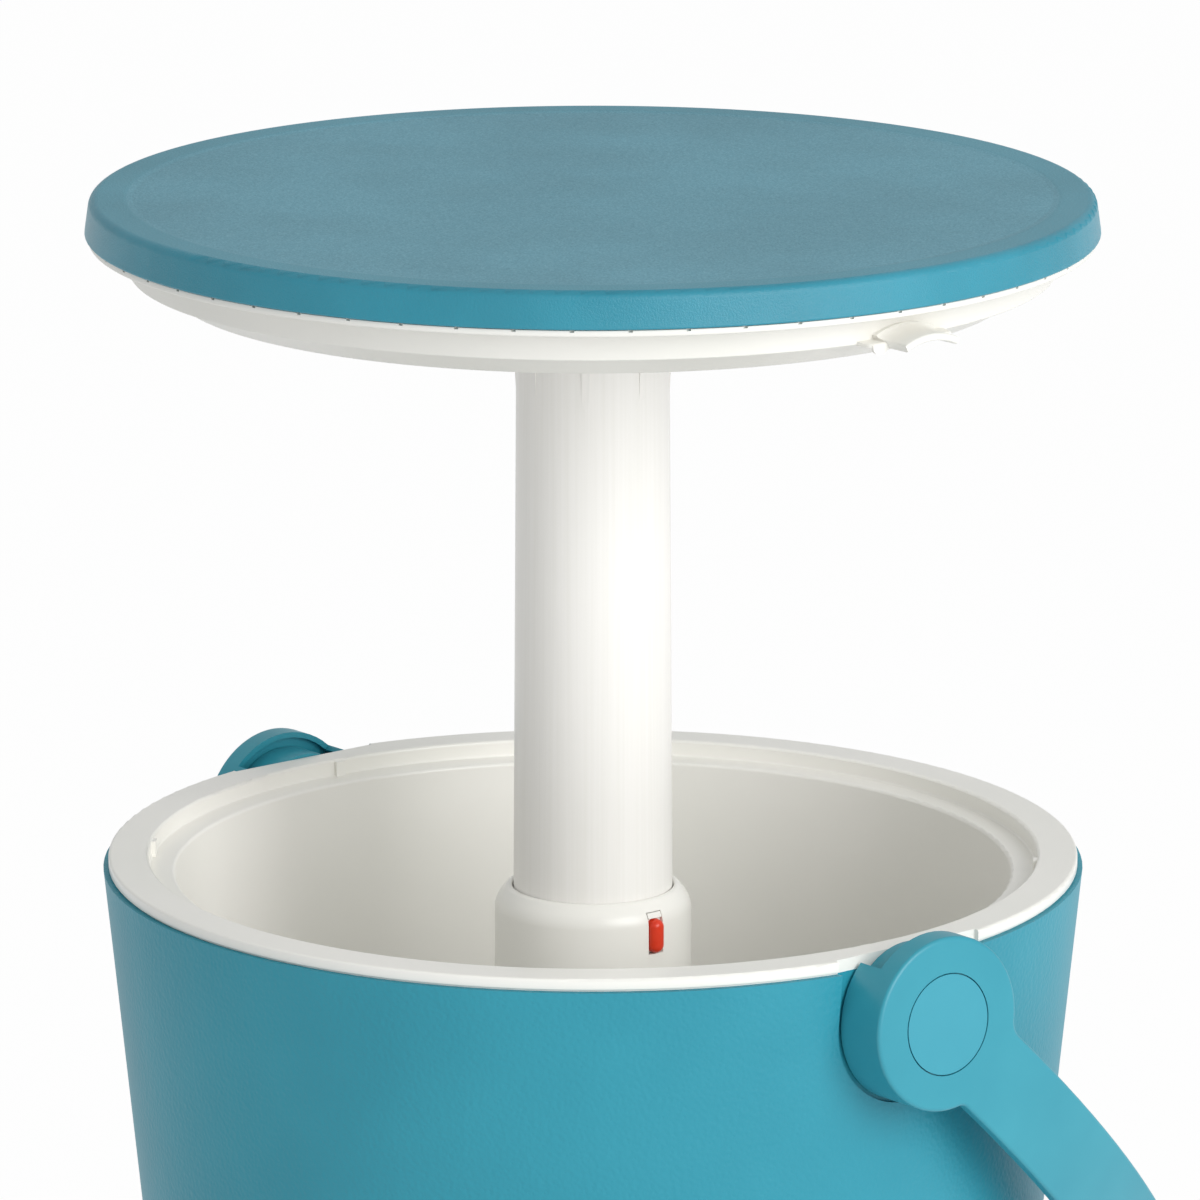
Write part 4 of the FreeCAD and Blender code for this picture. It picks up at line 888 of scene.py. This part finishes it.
FLOOR_SIZE = 60
FLOOR_DROP = 0.0005
FLOOR_WHITE = 0.92
FLOOR_ROUGHNESS = 0.9
BACKDROP_SHARE = 0.97
SKY_COLOR = (0.97, 0.985, 1.0)
SKY_STRENGTH = 0.605
LAMP_PLACE = (2.6, 0.05, 1.35)
LAMP_AIM = (0, 0, 0.4)
LAMP_SIZE = 1.8
LAMP_POWER = 51


def seen_ray(made):
    # One for the rays that show the background: straight, mirrored or passed through
    path = made.add("ShaderNodeLightPath")
    total = None
    for name in ("Is Camera Ray", "Is Glossy Ray", "Is Transmission Ray"):
        if total is None:
            total = path.outputs[name]
        else:
            total = made.math("MAXIMUM", total, path.outputs[name])
    return total


def add_floor():
    bpy.ops.object.select_all(action="DESELECT")
    bpy.ops.mesh.primitive_plane_add(size=FLOOR_SIZE, location=(0, 0, -FLOOR_DROP))
    floor = bpy.context.object
    floor.name = "studio_floor"
    made = Nodes("floor_pale", (FLOOR_WHITE, FLOOR_WHITE, FLOOR_WHITE), FLOOR_ROUGHNESS)
    glow = made.add("ShaderNodeEmission")
    mix = made.add("ShaderNodeMixShader")
    output = made.tree.nodes["Material Output"]
    made.join(made.math("MULTIPLY", seen_ray(made), BACKDROP_SHARE), mix.inputs["Fac"])
    made.join(made.shader.outputs["BSDF"], mix.inputs[1])
    made.join(glow.outputs["Emission"], mix.inputs[2])
    made.join(mix.outputs["Shader"], output.inputs["Surface"])
    floor.data.materials.append(made.material)


def add_lamp():
    bpy.ops.object.light_add(type="AREA", location=LAMP_PLACE)
    lamp = bpy.context.object
    lamp.data.size = LAMP_SIZE
    lamp.data.energy = LAMP_POWER
    lamp.rotation_mode = "QUATERNION"
    towards = Vector(LAMP_AIM) - Vector(LAMP_PLACE)
    lamp.rotation_quaternion = towards.to_track_quat("-Z", "Y")


def set_world():
    world = bpy.data.worlds.new("studio")
    bpy.context.scene.world = world
    world.use_nodes = True
    background = world.node_tree.nodes["Background"]
    background.inputs["Color"].default_value = (*SKY_COLOR, 1)
    background.inputs["Strength"].default_value = SKY_STRENGTH


add_floor()
add_lamp()
set_world()
bpy.context.scene.view_settings.view_transform = "Standard"
